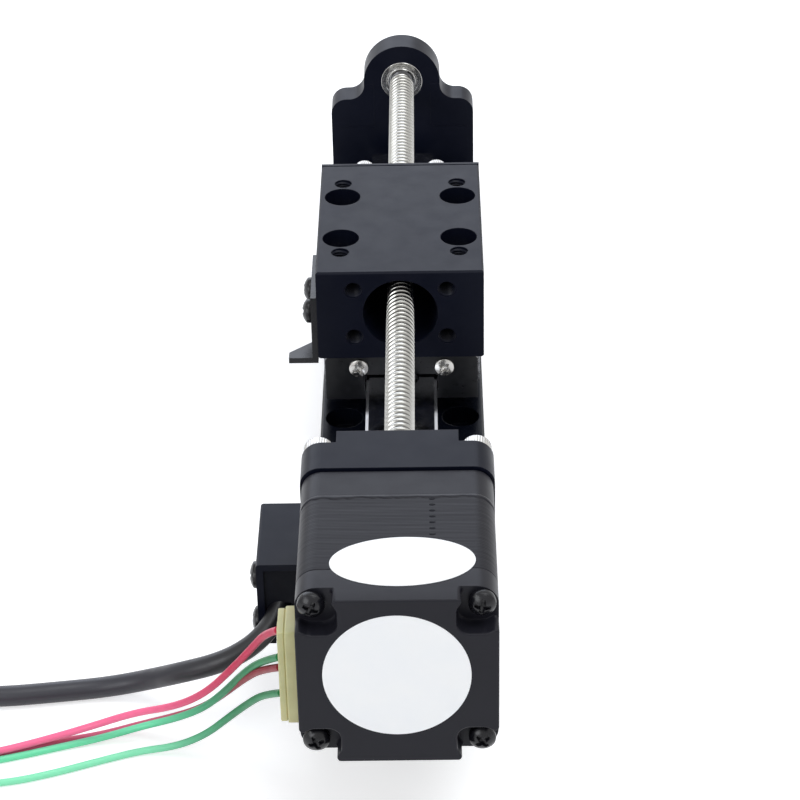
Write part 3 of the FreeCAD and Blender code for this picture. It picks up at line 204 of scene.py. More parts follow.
def anodised(name, base, roughness, other, ior=1.2):
    """Bead blasted and anodised aluminium: fine grain and faint cloudy patches."""
    finish = Finish(name, base, roughness, IOR=ior)
    finish.soften(0.15 * MM)
    finish.mottle(other, finish.noise(9 * MM), 0.0, 0.5)
    finish.vary_roughness(finish.noise(3 * MM), 0.04)
    finish.bump(finish.noise(0.12 * MM, detail=4), 0.006 * MM, 0.5)
    return finish.material


def steel(name, base, roughness, grain):
    """Bare steel with grinding marks along the stretched direction."""
    finish = Finish(name, base, roughness, metallic=1.0)
    finish.mottle(colour(150, 150, 152), finish.noise(4 * MM), 0.0, 0.25)
    finish.vary_roughness(finish.noise(1.5 * MM), 0.05)
    finish.bump(finish.noise(0.08 * MM, stretch=grain), 0.002 * MM, 0.4)
    return finish.material


def moulded(name, base, roughness, other, **sockets):
    """Moulded plastic: faint flow marks and a fine spark-eroded texture."""
    finish = Finish(name, base, roughness, **sockets)
    finish.soften(0.12 * MM)
    finish.mottle(other, finish.noise(2.5 * MM), 0.0, 0.6)
    finish.vary_roughness(finish.noise(1.2 * MM), 0.05)
    finish.bump(finish.noise(0.15 * MM), 0.01 * MM, 0.3)
    return finish.material


def lamination_material():
    """Stacked sheets: a groove at each joint, and streaks along the sheets."""
    sheet = 1.1 * MM
    finish = Finish("laminated_core", colour(29, 29, 35), 0.42, IOR=1.24)
    waver = finish.math("MULTIPLY", finish.noise(5 * MM, stretch=(1, 4, 1)), 1.6)
    phase = finish.math("MULTIPLY", finish.axes()["Y"], math.tau / sheet)
    wave = finish.math("SINE", finish.math("ADD", phase, waver))
    fine = finish.math("SINE", finish.math("MULTIPLY", phase, 3.0))
    streaks = finish.noise(0.45 * MM, detail=2, stretch=(30, 1, 30))
    finish.mottle(colour(24, 24, 29), streaks, 0.0, 0.6)
    finish.mottle(colour(40, 39, 44), finish.noise(0.8 * MM, stretch=(12, 1, 12)), 0.0, 0.3)
    finish.vary_roughness(streaks, 0.06)
    finish.bump(wave, 0.006 * MM, 0.4)
    finish.bump(fine, 0.005 * MM, 0.5)
    return finish.material


def thread_material():
    """Rolled steel thread: polished crests, and grooves painted darker as the shade that falls in
    them.
    """
    finish = Finish("screw_steel", colour(182, 181, 176), 0.22, metallic=1.0)
    axes = finish.axes()
    rise = finish.math("SUBTRACT", axes["Z"], AXIS_Z)
    across = finish.math("POWER", axes["X"], 2.0)
    square = finish.math("ADD", finish.math("POWER", rise, 2.0), across)
    radius = finish.math("SQRT", square)
    crest = THREAD_DIA / 2
    # Painted shade: the colour darkens down into the thread's grooves, where shade falls.
    groove_shade = finish.spread(radius, 1.0, 0.0, crest - 0.5 * MM, crest - 0.06 * MM)
    finish.mottle(colour(66, 64, 60), groove_shade, 0.0, 0.95)
    finish.mottle(colour(150, 150, 148), finish.noise(3 * MM), 0.0, 0.35)
    finish.vary_roughness(finish.noise(1.5 * MM), 0.05)
    finish.bump(finish.noise(0.08 * MM, stretch=(1, 14, 1)), 0.002 * MM, 0.4)
    return finish.material


def paper_material():
    finish = Finish("label_paper", colour(255, 255, 255), 0.5)
    finish.mottle(colour(248, 250, 253), finish.noise(5 * MM), 0.0, 0.5)
    finish.bump(finish.noise(0.25 * MM, detail=5), 0.008 * MM, 0.4)
    return finish.material


def jacket(name, base, other, far, roughness=0.4):
    """The soft plastic of a lead or cable, slightly uneven along its length, and painted paler
    away
    from the motor: painted light, where more light falls on the cords."""
    finish = Finish(name, base, roughness)
    finish.mottle(other, finish.noise(1.5 * MM, stretch=(4, 1, 1)), 0.0, 0.7)
    # Painted light: the far colour lightens the cord towards the left, away from the motor.
    finish.mottle(far, finish.spread(finish.axes()["X"], 1.0, 0.0, -48 * MM, -14 * MM))
    finish.vary_roughness(finish.noise(2 * MM), 0.06)
    finish.bump(finish.noise(0.5 * MM), 0.02 * MM, 0.35)
    return finish.material


BLACK_ANODISED = anodised("black_anodised", colour(14, 17, 30), 0.36, colour(10, 13, 24))
GLOSS_ANODISED = anodised("gloss_anodised", colour(8, 11, 20), 0.2, colour(6, 8, 16))
MOTOR_PAINT = anodised("motor_paint", colour(28, 28, 35), 0.38, colour(22, 22, 28), 1.27)
BLACK_OXIDE = anodised("black_oxide", colour(18, 18, 23), 0.26, colour(10, 10, 14), 1.4)
LAMINATED = lamination_material()
SCREW_STEEL = thread_material()
BEARING_STEEL = steel("bearing_steel", colour(204, 203, 200), 0.16, (1, 1, 1))
GROUND_STEEL = steel("ground_steel", colour(196, 198, 204), 0.16, (1, 30, 1))
NICKEL = steel("nickel_plate", colour(196, 194, 190), 0.24, (1, 1, 1))
COPPER = steel("copper_winding", colour(176, 92, 52), 0.35, (1, 6, 1))
MAGNET = steel("magnet", colour(110, 112, 118), 0.42, (1, 1, 1))
BLACK_PLASTIC = moulded("black_plastic", colour(18, 19, 23), 0.32, colour(12, 13, 17))
SENSOR_PLASTIC = moulded("sensor_plastic", colour(10, 12, 20), 0.5, colour(7, 8, 14), IOR=1.2)
CREAM_NYLON = moulded(
    "cream_nylon", colour(206, 200, 148), 0.45, colour(192, 184, 130), Subsurface_Weight=0.1
)
# Painted shade: a dark finish for flat patches that stand in for the shade inside openings.
SLOT_SHADE = moulded("painted_slot_shade", colour(20, 18, 16), 0.7, colour(12, 11, 10))
PAPER = paper_material()
GREEN, DEEP_GREEN = colour(38, 140, 88), colour(34, 128, 80)
# The third colour of each jacket is painted light, for the brighter lit ends of the cords.
LEAD_PINK = jacket("lead_pink", colour(208, 48, 88), colour(190, 44, 80), colour(255, 112, 156))
LEAD_RED = jacket("lead_red", colour(150, 28, 48), colour(130, 24, 42), colour(210, 84, 118))
LEAD_GREEN = jacket("lead_green", GREEN, DEEP_GREEN, colour(116, 230, 178))
LEAD_DARK_GREEN = jacket("lead_dark_green", GREEN, DEEP_GREEN, colour(140, 238, 190))
CABLE_BLACK = jacket(
    "cable_black", colour(12, 12, 16), colour(14, 14, 18), colour(40, 40, 48), 0.42
)

# The nodes that no piece here replaces
BEARINGS = ("motor_rear_bearing", "motor_front_bearing", "end_bearing")
RINGS = [bearing + end for bearing in BEARINGS for end in ("_outer_ring", "_inner_ring")]
NODE_MATERIALS = [
    (GLOSS_ANODISED, ["base_plate"]),
    (BLACK_ANODISED, ["carriage_block", "motor_mount_plate", "end_bearing_plate"]),
    (BLACK_OXIDE, ["mount_plate_screws", "end_plate_screws", "sensor_flag"]),
    (BLACK_PLASTIC, ["guide_end_caps"]),
    (SENSOR_PLASTIC, ["sensor_body"]),
    (COPPER, ["stator_windings"]),
    (MAGNET, ["rotor_magnet"]),
    (GROUND_STEEL, ["linear_rail", "guide_block", "rotor_cups", "bearing_balls"] + RINGS),
]


def dress_nodes():
    for finish, names in NODE_MATERIALS:
        for name in names:
            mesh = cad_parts[name].data
            mesh.materials.clear()
            mesh.materials.append(finish)


# Meshes
def finished(name, mesh, material, body, nodes=(), sharp=35):
    """Turn a bmesh into a piece; edges sharper than the angle stay sharp."""
    bmesh.ops.recalc_face_normals(mesh, faces=mesh.faces)
    limit = math.radians(sharp)
    for face in mesh.faces:
        face.smooth = True
    for edge in mesh.edges:
        edge.smooth = len(edge.link_faces) == 2 and edge.calc_face_angle(0) < limit
    data = bpy.data.meshes.new(name)
    mesh.to_mesh(data)
    mesh.free()
    data.materials.append(material)
    piece = bpy.data.objects.new(name, data)
    bpy.context.scene.collection.objects.link(piece)
    weighted = piece.modifiers.new("flat_faces_stay_flat", "WEIGHTED_NORMAL")
    weighted.keep_sharp = True
    weighted.weight = 100
    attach(piece, body)
    if nodes:
        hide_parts(*nodes)
    return piece


def polar(radius, angle, height):
    """A point round a form's own Z, with the angle in radians."""
    return Vector((radius * math.cos(angle), radius * math.sin(angle), height))


def ring(mesh, place, radii, height):
    """A closed loop of vertices, one for each radius."""
    step = math.tau / len(radii)
    points = [polar(radius, step * i, height) for i, radius in enumerate(radii)]
    return [mesh.verts.new(place @ point) for point in points]


def bridge(mesh, first, second):
    count = len(first)
    for i in range(count):
        j = (i + 1) % count
        mesh.faces.new((first[i], first[j], second[j], second[i]))


def join_rows(mesh, first, second):
    """Faces between two rows of vertices, with their ends left open."""
    for k in range(len(first) - 1):
        mesh.faces.new((first[k], second[k], second[k + 1], first[k + 1]))


def stack_rings(mesh, rings):
    """A closed form with one ring above the other."""
    for first, second in zip(rings, rings[1:]):
        bridge(mesh, first, second)
    mesh.faces.new(rings[0])
    mesh.faces.new(rings[-1])


def close_round(mesh, rings):
    """A closed form round a hole: the rings run once round its section."""
    for first, second in zip(rings, rings[1:] + rings[:1]):
        bridge(mesh, first, second)


def lathe(mesh, place, profile, count=64):
    """A turned form round its own Z from (radius, height) points."""
    stack_rings(mesh, [ring(mesh, place, [r] * count, z) for r, z in profile])


def shank(mesh, place, radius, length, count):
    """The rings of a screw's shank, from its tip to the seat of its head."""
    levels = [(radius * 0.8, -length), (radius, -length + 0.3 * MM), (radius, 0)]
    return [ring(mesh, place, [r] * count, z) for r, z in levels]


def cap_head(mesh, place, radius, height, key, shank_radius, shank_length):
    """A socket head with a straight knurl and a bevelled rim."""
    count = 144
    knurl = [radius - (0.09 * MM if i % 4 > 1 else 0.0) for i in range(count)]
    plain = [radius - 0.06 * MM] * count
    side = key / 2
    sixth = math.tau / 6
    angles = [math.tau * i / count for i in range(count)]
    hexagon = [side / math.cos(angle % sixth - sixth / 2) for angle in angles]
    levels = [
        ([radius * 0.94] * count, 0),
        (plain, height * 0.05),
        (knurl, height * 0.1),
        (knurl, height * 0.8),
        (plain, height * 0.84),
        ([radius * 0.86] * count, height),
        ([reach + 0.12 * MM for reach in hexagon], height),
        (hexagon, height - 0.1 * MM),
        (hexagon, height * 0.45),
        ([side * 0.2] * count, height * 0.35),
    ]
    rings = shank(mesh, place, shank_radius, shank_length, count)
    rings += [ring(mesh, place, radii, z) for radii, z in levels]
    stack_rings(mesh, rings)


def cross_depth(x, y, radius):
    """How deep a cross recess is at a point of a screw's head, from 0 to 1."""
    reach = 0.6 * radius
    deepest = 0.0
    for along, across in ((abs(x), abs(y)), (abs(y), abs(x))):
        half_width = 0.2 * radius - 0.1 * along
        wall = min(half_width - across, 0.7 * (reach - along))
        rise = max(0.0, min(1.0, wall / (0.06 * radius)))
        deepest = max(deepest, rise * (1 - 0.55 * along / reach))
    return deepest


def cross_head(mesh, place, radius, height, shank_radius, shank_length, recess):
    """A pan head with a cross recess, on a plain shank."""
    count, steps = 96, 26
    rim_height = height * 0.5
    rings = shank(mesh, place, shank_radius, shank_length, count)
    for r, z in (
        (radius * 0.96, 0),
        (radius, height * 0.12),
        (radius, rim_height * 0.8),
    ):
        rings.append(ring(mesh, place, [r] * count, z))
    for step in range(steps):
        r = radius * 0.97 * (1 - step / steps)
        dome = rim_height + (height - rim_height) * (1 - (r / radius) ** 2.4)
        loop = []
        for i in range(count):
            point = polar(r, math.tau * i / count, dome)
            point.z -= recess * cross_depth(point.x, point.y, radius)
            loop.append(mesh.verts.new(place @ point))
        rings.append(loop)
    stack_rings(mesh, rings)


def helix(mesh, place, profile, pitch, count, reach):
    """A right-hand strip of vertex rows round its own Z. The profile is (radius, share of
    pitch) points over one pitch, and reach gives the radius at a number of turns."""
    rows = []
    for i in range(count):
        turn = i / THREAD_STEPS
        row = []
        for radius, share in profile:
            along = turn + share
            point = polar(reach(radius, along), math.tau * turn, along * pitch)
            row.append(mesh.verts.new(place @ point))
        rows.append(row)
    for row, following in zip(rows, rows[1:]):
        join_rows(mesh, row, following)
    return rows


def threads(mesh, place, profile, pitch, turns):
    """A whole thread, which fades into its smallest radius over a turn at both ends."""
    root = min(radius for radius, _ in profile)

    def reach(radius, along):
        room = min(along, turns + 1 - along)
        return root + (radius - root) * max(0.0, min(1.0, room))

    rows = helix(mesh, place, profile, pitch, int(turns * THREAD_STEPS) + 1, reach)
    for i in range(len(rows) - THREAD_STEPS - 1):
        row, following = rows[i], rows[i + 1]
        above, above_next = rows[i + THREAD_STEPS], rows[i + THREAD_STEPS + 1]
        mesh.faces.new((row[-1], following[-1], above_next[0], above[0]))


def lead_screw():
    """The plain shaft, the rolled thread and the end journal, in one piece."""
    mesh = bmesh.new()
    crest, root = THREAD_DIA / 2, THREAD_DIA / 2 - 0.62 * MM
    shaft_end = MOUNT_FRONT_Y + 8.8 * MM
    thread_end = END_FRONT_Y - 0.4 * MM
    axis = Matrix.Translation((0, 0, AXIS_Z)) @ HEAD_AHEAD
    shaft = [
        (2.1 * MM, SCREW_LOW.y),
        (2.5 * MM, SCREW_LOW.y + 0.4 * MM),
        (2.5 * MM, shaft_end - 0.1 * MM),
        (2.4 * MM, shaft_end),
        (root * 0.9, shaft_end),
    ]
    journal = [
        (root * 0.9, thread_end - 0.6 * MM),
        (1.9 * MM, thread_end - 0.3 * MM),
        (2.0 * MM, thread_end - 0.1 * MM),
        (2.0 * MM, SCREW_HIGH.y - 0.4 * MM),
        (1.6 * MM, SCREW_HIGH.y),
    ]
    lathe(mesh, axis, shaft)
    lathe(mesh, axis, journal)
    start = shaft_end - 0.5 * MM
    rising = [(root + 0.04 * MM, 0.1), (crest - 0.12 * MM, 0.26), (crest - 0.02 * MM, 0.32)]
    falling = [(crest - 0.02 * MM, 0.64), (crest - 0.12 * MM, 0.7), (root + 0.04 * MM, 0.86)]
    profile = [(root, 0.0)] + rising + [(crest, 0.42), (crest, 0.54)] + falling
    place = axis @ Matrix.Translation((0, 0, start))
    turns = (thread_end - start) / THREAD_LEAD - 1
    threads(mesh, place, profile, THREAD_LEAD, turns)
    finished("lead_screw_thread", mesh, SCREW_STEEL, "screw", ["lead_screw"], sharp=50)


def cap_screws(name, node, turn, places, size, length, body):
    mesh = bmesh.new()
    for place in places:
        cap_head(mesh, Matrix.Translation(place) @ turn, *size, length)
    finished(name, mesh, NICKEL, body, [node])


def fasteners():
    """Socket head and cross head screws, with their knurls and recesses."""
    node = "motor_mounting_screws"
    low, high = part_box(node)
    seat = high.y - M25[1]
    side = MOTOR_SCREW_OFFSET
    places = [(i * side, seat, AXIS_Z + j * side) for i, j in QUARTERS]
    cap_screws("mounting_screw_heads", node, HEAD_AHEAD, places, M25, seat - low.y, "root")
    length = NUT_SEAT_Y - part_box("nut_screws")[0].y
    places = [(i * NUT_SCREW_X, NUT_SEAT_Y, AXIS_Z + j * NUT_SCREW_Z) for i, j in QUARTERS]
    cap_screws("nut_screw_heads", "nut_screws", HEAD_AHEAD, places, M2, length, "carriage")
    low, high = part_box("rail_screws")
    head = M3[0]
    seat = high.z - M3[1]
    pitch = (high.y - low.y - 2 * head) / 5
    places = [(0, low.y + head + k * pitch, seat) for k in range(6)]
    cap_screws("rail_screw_heads", "rail_screws", HEAD_UP, places, M3, seat - low.z, "root")
    node = "carriage_screws"
    low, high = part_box(node)
    seat = high.z - M3[1]
    rows = (low.y + head, high.y - head)
    places = [(x, y, seat) for x in (low.x + head, high.x - head) for y in rows]
    cap_screws("carriage_screw_heads", node, HEAD_UP, places, M3, seat - low.z, "carriage")
    motor_body_screws()
    end_cap_screws()
    low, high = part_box("flag_screws")
    middle = (low.z + high.z) / 2
    places = [(low.y + PAN_RADIUS, middle), (high.y - PAN_RADIUS, middle)]
    side_screws("flag_screws", "flag_screw_heads", 1.6 * MM, places, "carriage")
    low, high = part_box("sensor_screws")
    middle = (low.y + high.y) / 2
    places = [(middle, z) for z in SENSOR_SCREW_Z]
    side_screws("sensor_screws", "sensor_screw_heads", 1.2 * MM, places, "root")


def spun(place, turn, degrees):
    """A screw's place and direction, with the recess in its head turned by an angle."""
    spin = Matrix.Rotation(math.radians(degrees), 4, "Z")
    return Matrix.Translation(place) @ turn @ spin


def motor_body_screws():
    mesh = bmesh.new()
    side, seat = MOTOR_SCREW_OFFSET, POCKET_FLOOR_Y
    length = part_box("motor_body_screws")[1].y - seat
    for (i, j), angle in zip(QUARTERS, (80, 65, 20, 38)):
        place = spun((i * side, seat, AXIS_Z + j * side), HEAD_BACK, angle)
        cross_head(mesh, place, 1.9 * MM, 2.0 * MM, 1.25 * MM, length, 0.9 * MM)
    finished("motor_screw_heads", mesh, BLACK_OXIDE, "root", ["motor_body_screws"], sharp=28)


def end_cap_screws():
    low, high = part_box("end_cap_screws")
    radius, height = 1.65 * MM, 0.7 * MM
    mesh = bmesh.new()
    middle = (low.z + high.z) / 2
    side = high.x - radius
    for y, turn in ((low.y + height, HEAD_BACK), (high.y - height, HEAD_AHEAD)):
        for i, angle in ((-1, 30), (1, 52)):
            place = spun((i * side, y, middle), turn, angle)
            cross_head(mesh, place, radius, height, 0.8 * MM, 6.5 * MM, 0.55 * MM)
    finished("end_cap_screw_heads", mesh, NICKEL, "carriage", ["end_cap_screws"], sharp=28)


def side_screws(node, name, height, places, body):
    """Two pan heads that face left."""
    low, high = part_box(node)
    mesh = bmesh.new()
    seat = low.x + height
    for (y, z), angle in zip(places, (25, 60)):
        place = spun((seat, y, z), HEAD_LEFT, angle)
        cross_head(mesh, place, PAN_RADIUS, height, 1.25 * MM, high.x - seat, 0.8 * MM)
    finished(name, mesh, BLACK_OXIDE, body, [node], sharp=28)


def sensor_cover():
    """The sensor's cover: a roof, an outer wall that reaches below the sensor's body, and a
    leg to the mount plate."""
    low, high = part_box("sensor_bracket")
    wall = 1.1 * MM
    roof_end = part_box("sensor_body")[1].x + 0.35 * MM
    bottom, under_roof = SENSOR_BOTTOM_Z, high.z - wall
    cover = [
        (low.x, high.z, 0.5 * MM),
        (low.x, bottom, 0),
        (low.x + wall, bottom, 0),
        (low.x + wall, under_roof, 0),
        (roof_end, under_roof, 0),
        (roof_end, high.z, 0),
    ]
    leg = [
        (roof_end, high.z, 0),
        (roof_end, under_roof, 0),
        (high.x - wall, under_roof, 0),
        (high.x - wall, low.z, 0),
        (high.x, low.z, 0),
        (high.x, high.z, 0),
    ]
    mesh = bmesh.new()
    for corners, back in ((cover, high.y), (leg, MOUNT_BACK_Y)):
        prism(mesh, rounded_outline(corners), [(low.y, 0), (back, 0)])
    finished("sensor_cover", mesh, BLACK_ANODISED, "root", ["sensor_bracket"], sharp=40)
    sensor_front_wall(low.x + wall, high.x - wall, under_roof, low.y + 0.35 * MM)


def sensor_front_wall(left, right, top, face):
    """The wall in the cover's front, with an arch that the cable comes out of."""
    x, z, arch = SENSOR_ARCH
    bottom = SENSOR_BOTTOM_Z
    outline = [(right, bottom), (right, top), (left, top), (left, bottom), (x - arch, bottom)]
    outline += arc(x, z, arch, math.pi, 0, 16)
    outline.append((x + arch, bottom))
    mesh = bmesh.new()
    prism(mesh, outline, [(face, 0), (face + 0.8 * MM, 0)])
    finished("sensor_front_wall", mesh, SENSOR_PLASTIC, "root", sharp=40)


def tapped_holes():
    """The threads inside the carriage's tapped holes, on top and in front."""
    mesh = bmesh.new()
    middle_y = (CARRIAGE_LOW.y + CARRIAGE_HIGH.y) / 2
    side, length = 10 * MM, 12.5 * MM
    circle = polar(9 * MM, math.radians(30), 0)
    top_z, front_y = CARRIAGE_HIGH.z - 7.5 * MM, CARRIAGE_LOW.y + 4.8 * MM
    for i, j in QUARTERS:
        place = Matrix.Translation((i * side, middle_y + j * length, top_z))
        hole_thread(mesh, place, 1.5 * MM, 0.5 * MM, 14)
        place = Matrix.Translation((i * circle.x, front_y, AXIS_Z + j * circle.y))
        hole_thread(mesh, place @ HEAD_BACK, 1.45 * MM, 0.45 * MM, 9)
    finished("tapped_hole_threads", mesh, BLACK_ANODISED, "carriage", sharp=20)


def hole_thread(mesh, place, radius, pitch, turns):
    """The ridge of a thread on the wall of a hole."""
    ridge = radius - 0.26 * MM
    profile = [(radius, 0.0), (ridge, 0.45), (ridge, 0.55), (radius, 0.98)]
    helix(mesh, place, profile, pitch, turns * THREAD_STEPS + 1, lambda reach, along: reach)


def nut():
    """The lead nut: a barrel in the carriage and a low flange on its back."""
    radius, half_height = 11 * MM, 6.8 * MM
    angles = [math.tau * k / 96 for k in range(96)]
    cut = [half_height / max(abs(math.sin(angle)), 0.001) for angle in angles]
    flange = [polar(min(radius, reach), angle, 0).xy for reach, angle in zip(cut, angles)]
    barrel = [polar(6.1 * MM, angle, 0).xy for angle in angles]
    bore = [polar(2.55 * MM, angle, 0).xy for angle in angles]
    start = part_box("lead_nut")[0].y
    sections = [
        (bore, start),
        (barrel, start),
        (barrel, CARRIAGE_BACK_Y),
        (flange, CARRIAGE_BACK_Y),
        (flange, NUT_SEAT_Y),
        (bore, NUT_SEAT_Y),
    ]
    mesh = bmesh.new()
    close_round(mesh, [row_at(mesh, points, y, AXIS_Z) for points, y in sections])
    finished("lead_nut_body", mesh, BLACK_PLASTIC, "carriage", ["lead_nut"], sharp=30)


def carriage_back():
    """The last of the carriage's length, round the nut's barrel."""
    low, high = CARRIAGE_LOW, CARRIAGE_HIGH
    corners = [(high.x, low.z), (high.x, high.z), (low.x, high.z), (low.x, low.z)]
    corners = [Vector((x, z - AXIS_Z)) for x, z in corners]
    outline = []
    for corner, following in zip(corners, corners[1:] + corners[:1]):
        outline += [corner.lerp(following, k / 16) for k in range(16)]
    hole = [point.normalized() * 6.3 * MM for point in outline]
    start, end = high.y - 0.02 * MM, CARRIAGE_BACK_Y
    sections = ((outline, start), (outline, end), (hole, end), (hole, start))
    mesh = bmesh.new()
    close_round(mesh, [row_at(mesh, points, y, AXIS_Z) for points, y in sections])
    finished("carriage_back", mesh, BLACK_ANODISED, "carriage", sharp=30)


def end_plate_shoulders():
    """The end plate's shoulders, with their round corner and the hollow up to the hump."""
    low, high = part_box("end_bearing_plate")
    top = AXIS_Z - 3.75 * MM
    inside, bottom = 5.5 * MM, top - 6 * MM
    corner, hollow, hump = 3.0 * MM, 3.0 * MM, 7.45 * MM
    centre_z = top + hollow
    centre_x = math.sqrt((hump + hollow) ** 2 - (centre_z - AXIS_Z) ** 2)
    touch = math.atan2(AXIS_Z - centre_z, -centre_x)
    outline = [(high.x, bottom)]
    outline += arc(high.x - corner, top - corner, corner, 0, math.radians(90), 8)
    outline += arc(centre_x, centre_z, hollow, math.radians(270), touch, 12)
    outline += [(inside, outline[-1][1]), (inside, bottom)]
    mesh = bmesh.new()
    for side in (-1, 1):
        mirrored = [(side * x, z) for x, z in outline]
        prism(mesh, mirrored, [(low.y - 0.02 * MM, 0), (high.y + 0.02 * MM, 0)])
    finished("end_plate_shoulders", mesh, BLACK_ANODISED, "root", sharp=30)


def end_bearing_face():
    """The end bearing seen from both sides: rings with bright edges and a shield between."""
    outer = [(4.0, -0.2), (4.0, 0.0), (3.94, 0.05), (3.4, 0.05), (3.32, -0.02), (3.27, -0.22)]
    shield = [(3.18, -0.25), (3.1, -0.12), (2.88, -0.1), (2.82, -0.28)]
    inner = [(2.76, -0.28), (2.7, 0.0), (2.64, 0.05), (2.5, 0.05), (2.45, -0.1)]
    profile = [(radius * MM, height * MM) for radius, height in outer + shield + inner]
    low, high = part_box("end_bearing_outer_ring")
    mesh = bmesh.new()
    front = Matrix.Translation((0, low.y, AXIS_Z)) @ HEAD_BACK
    lathe(mesh, front, profile, count=96)
    back = Matrix.Translation((0, high.y - 0.06 * MM, AXIS_Z)) @ HEAD_AHEAD
    lathe(mesh, back, profile[4:], count=96)
    nodes = ["end_bearing_shields"]
    finished("end_bearing_face", mesh, BEARING_STEEL, "root", nodes, sharp=28)


# Labels and marks on the motor
def labels():
    thickness = 0.08 * MM
    mesh = bmesh.new()
    radius = 10.1 * MM
    place = Matrix.Translation((-0.12 * MM, MOTOR_BACK_Y, AXIS_Z + 1.2 * MM)) @ HEAD_BACK
    profile = [(radius, 0), (radius, thickness * 0.6), (radius - 0.05 * MM, thickness)]
    lathe(mesh, place, profile, count=128)
    finished("motor_back_label", mesh, PAPER, "root")
    mesh = bmesh.new()
    centre = Vector((0.82 * MM, MOTOR_BACK_Y + 8.95 * MM, MOTOR_TOP_Z))
    half_length, half_width = 9.95 * MM, 5.65 * MM
    scale = Matrix.Diagonal((half_length, half_width, 1, 1))
    tilt = Matrix.Rotation(math.radians(2.1), 4, "Z")
    place = Matrix.Translation(centre) @ tilt @ scale
    lathe(mesh, place, [(1, 0), (1, thickness * 0.6), (0.995, thickness)], count=128)
    finished("motor_top_sticker", mesh, PAPER, "root")


def stack_marks():
    """A row of small stamped joints across the top of the laminated core."""
    mesh = bmesh.new()
    first, pitch, count = 15.35 * MM, 1.44 * MM, 7
    for k in range(count):
        y = MOTOR_BACK_Y + first + pitch * k
        size = Matrix.Diagonal((0.45 * MM, 0.24 * MM, 1, 1))
        place = Matrix.Translation((4.95 * MM, y, MOTOR_TOP_Z)) @ size
        lathe(mesh, place, [(1, -0.05 * MM), (1, 0.03 * MM), (0.7, 0.04 * MM)], count=20)
    finished("stack_marks", mesh, SENSOR_PLASTIC, "root")


# Outlines of (x, z) points, and forms along Y from them
def arc(x, z, radius, start, end, steps):
    """Points on an arc from one angle to another, in radians."""
    angles = [start + (end - start) * k / steps for k in range(steps + 1)]
    return [(x + radius * math.cos(angle), z + radius * math.sin(angle)) for angle in angles]


def rounded_outline(corners, steps=10):
    """A closed outline of points; each corner is (x, z, rounding radius)."""
    points = []
    count = len(corners)
    for k, (x, z, radius) in enumerate(corners):
        here = Vector((x, z))
        if radius == 0:
            points.append(here)
            continue
        back = (Vector(corners[k - 1][:2]) - here).normalized()
        ahead = (Vector(corners[(k + 1) % count][:2]) - here).normalized()
        half = back.angle(ahead) / 2
        centre = here + (back + ahead).normalized() * (radius / math.sin(half))
        first = here + back * (radius / math.tan(half)) - centre
        last = here + ahead * (radius / math.tan(half)) - centre
        start = math.atan2(first.y, first.x)
        sweep = first.angle_signed(last)
        points += [Vector(p) for p in arc(*centre, radius, start, start - sweep, steps)]
    return points


def inset(points, amount):
    """The same closed outline, each point moved inwards by an amount."""
    moved = []
    count = len(points)
    area = sum(a.x * b.y - a.y * b.x for a, b in zip(points, points[1:] + points[:1]))
    side = 1 if area > 0 else -1
    for k, point in enumerate(points):
        before = (point - points[k - 1]).normalized()
        after = (points[(k + 1) % count] - point).normalized()
        normal = Vector((-(before.y + after.y), before.x + after.x)).normalized()
        share = max(0.4, math.cos(before.angle(after) / 2))
        moved.append(point + normal * (side * amount / share))
    return moved


def row_at(mesh, points, y, lift=0.0):
    """A loop of vertices on an outline at one place along Y."""
    return [mesh.verts.new((x, y, lift + z)) for x, z in points]


def prism(mesh, points, levels, lift=0.0, join=stack_rings):
    """A form along Y with one outline; each level is (y, how far the outline is drawn in)."""
    rings = []
    for y, amount in levels:
        outline = inset(points, amount) if amount else points
        rings.append(row_at(mesh, outline, y, lift))
    join(mesh, rings)


def motor_outline(steps=10):
    corners = [(i * MOTOR_HALF, j * MOTOR_HALF, MOTOR_CORNER) for i, j in QUARTERS]
    return rounded_outline(corners, steps)


def tongue_outline(pocket):
    """The rear bell's back: a square with a pocket of this size taken out of each corner. The
    pockets' mouths are a little narrower than the pockets."""
    edge = MOTOR_HALF - pocket
    mouth = edge + 1.0 * MM
    bend = MOTOR_HALF - 1.85 * MM
    quarter = [
        (MOTOR_HALF, mouth, 0.55 * MM),
        (bend, edge, 1.5 * MM),
        (edge, edge, 1.8 * MM),
        (edge, bend, 1.5 * MM),
        (mouth, MOTOR_HALF, 0.55 * MM),
    ]
    corners = []
    for i, j in QUARTERS:
        steps = [(i * x, j * z, radius) for x, z, radius in quarter]
        corners += steps if i * j > 0 else reversed(steps)
    return rounded_outline(corners)


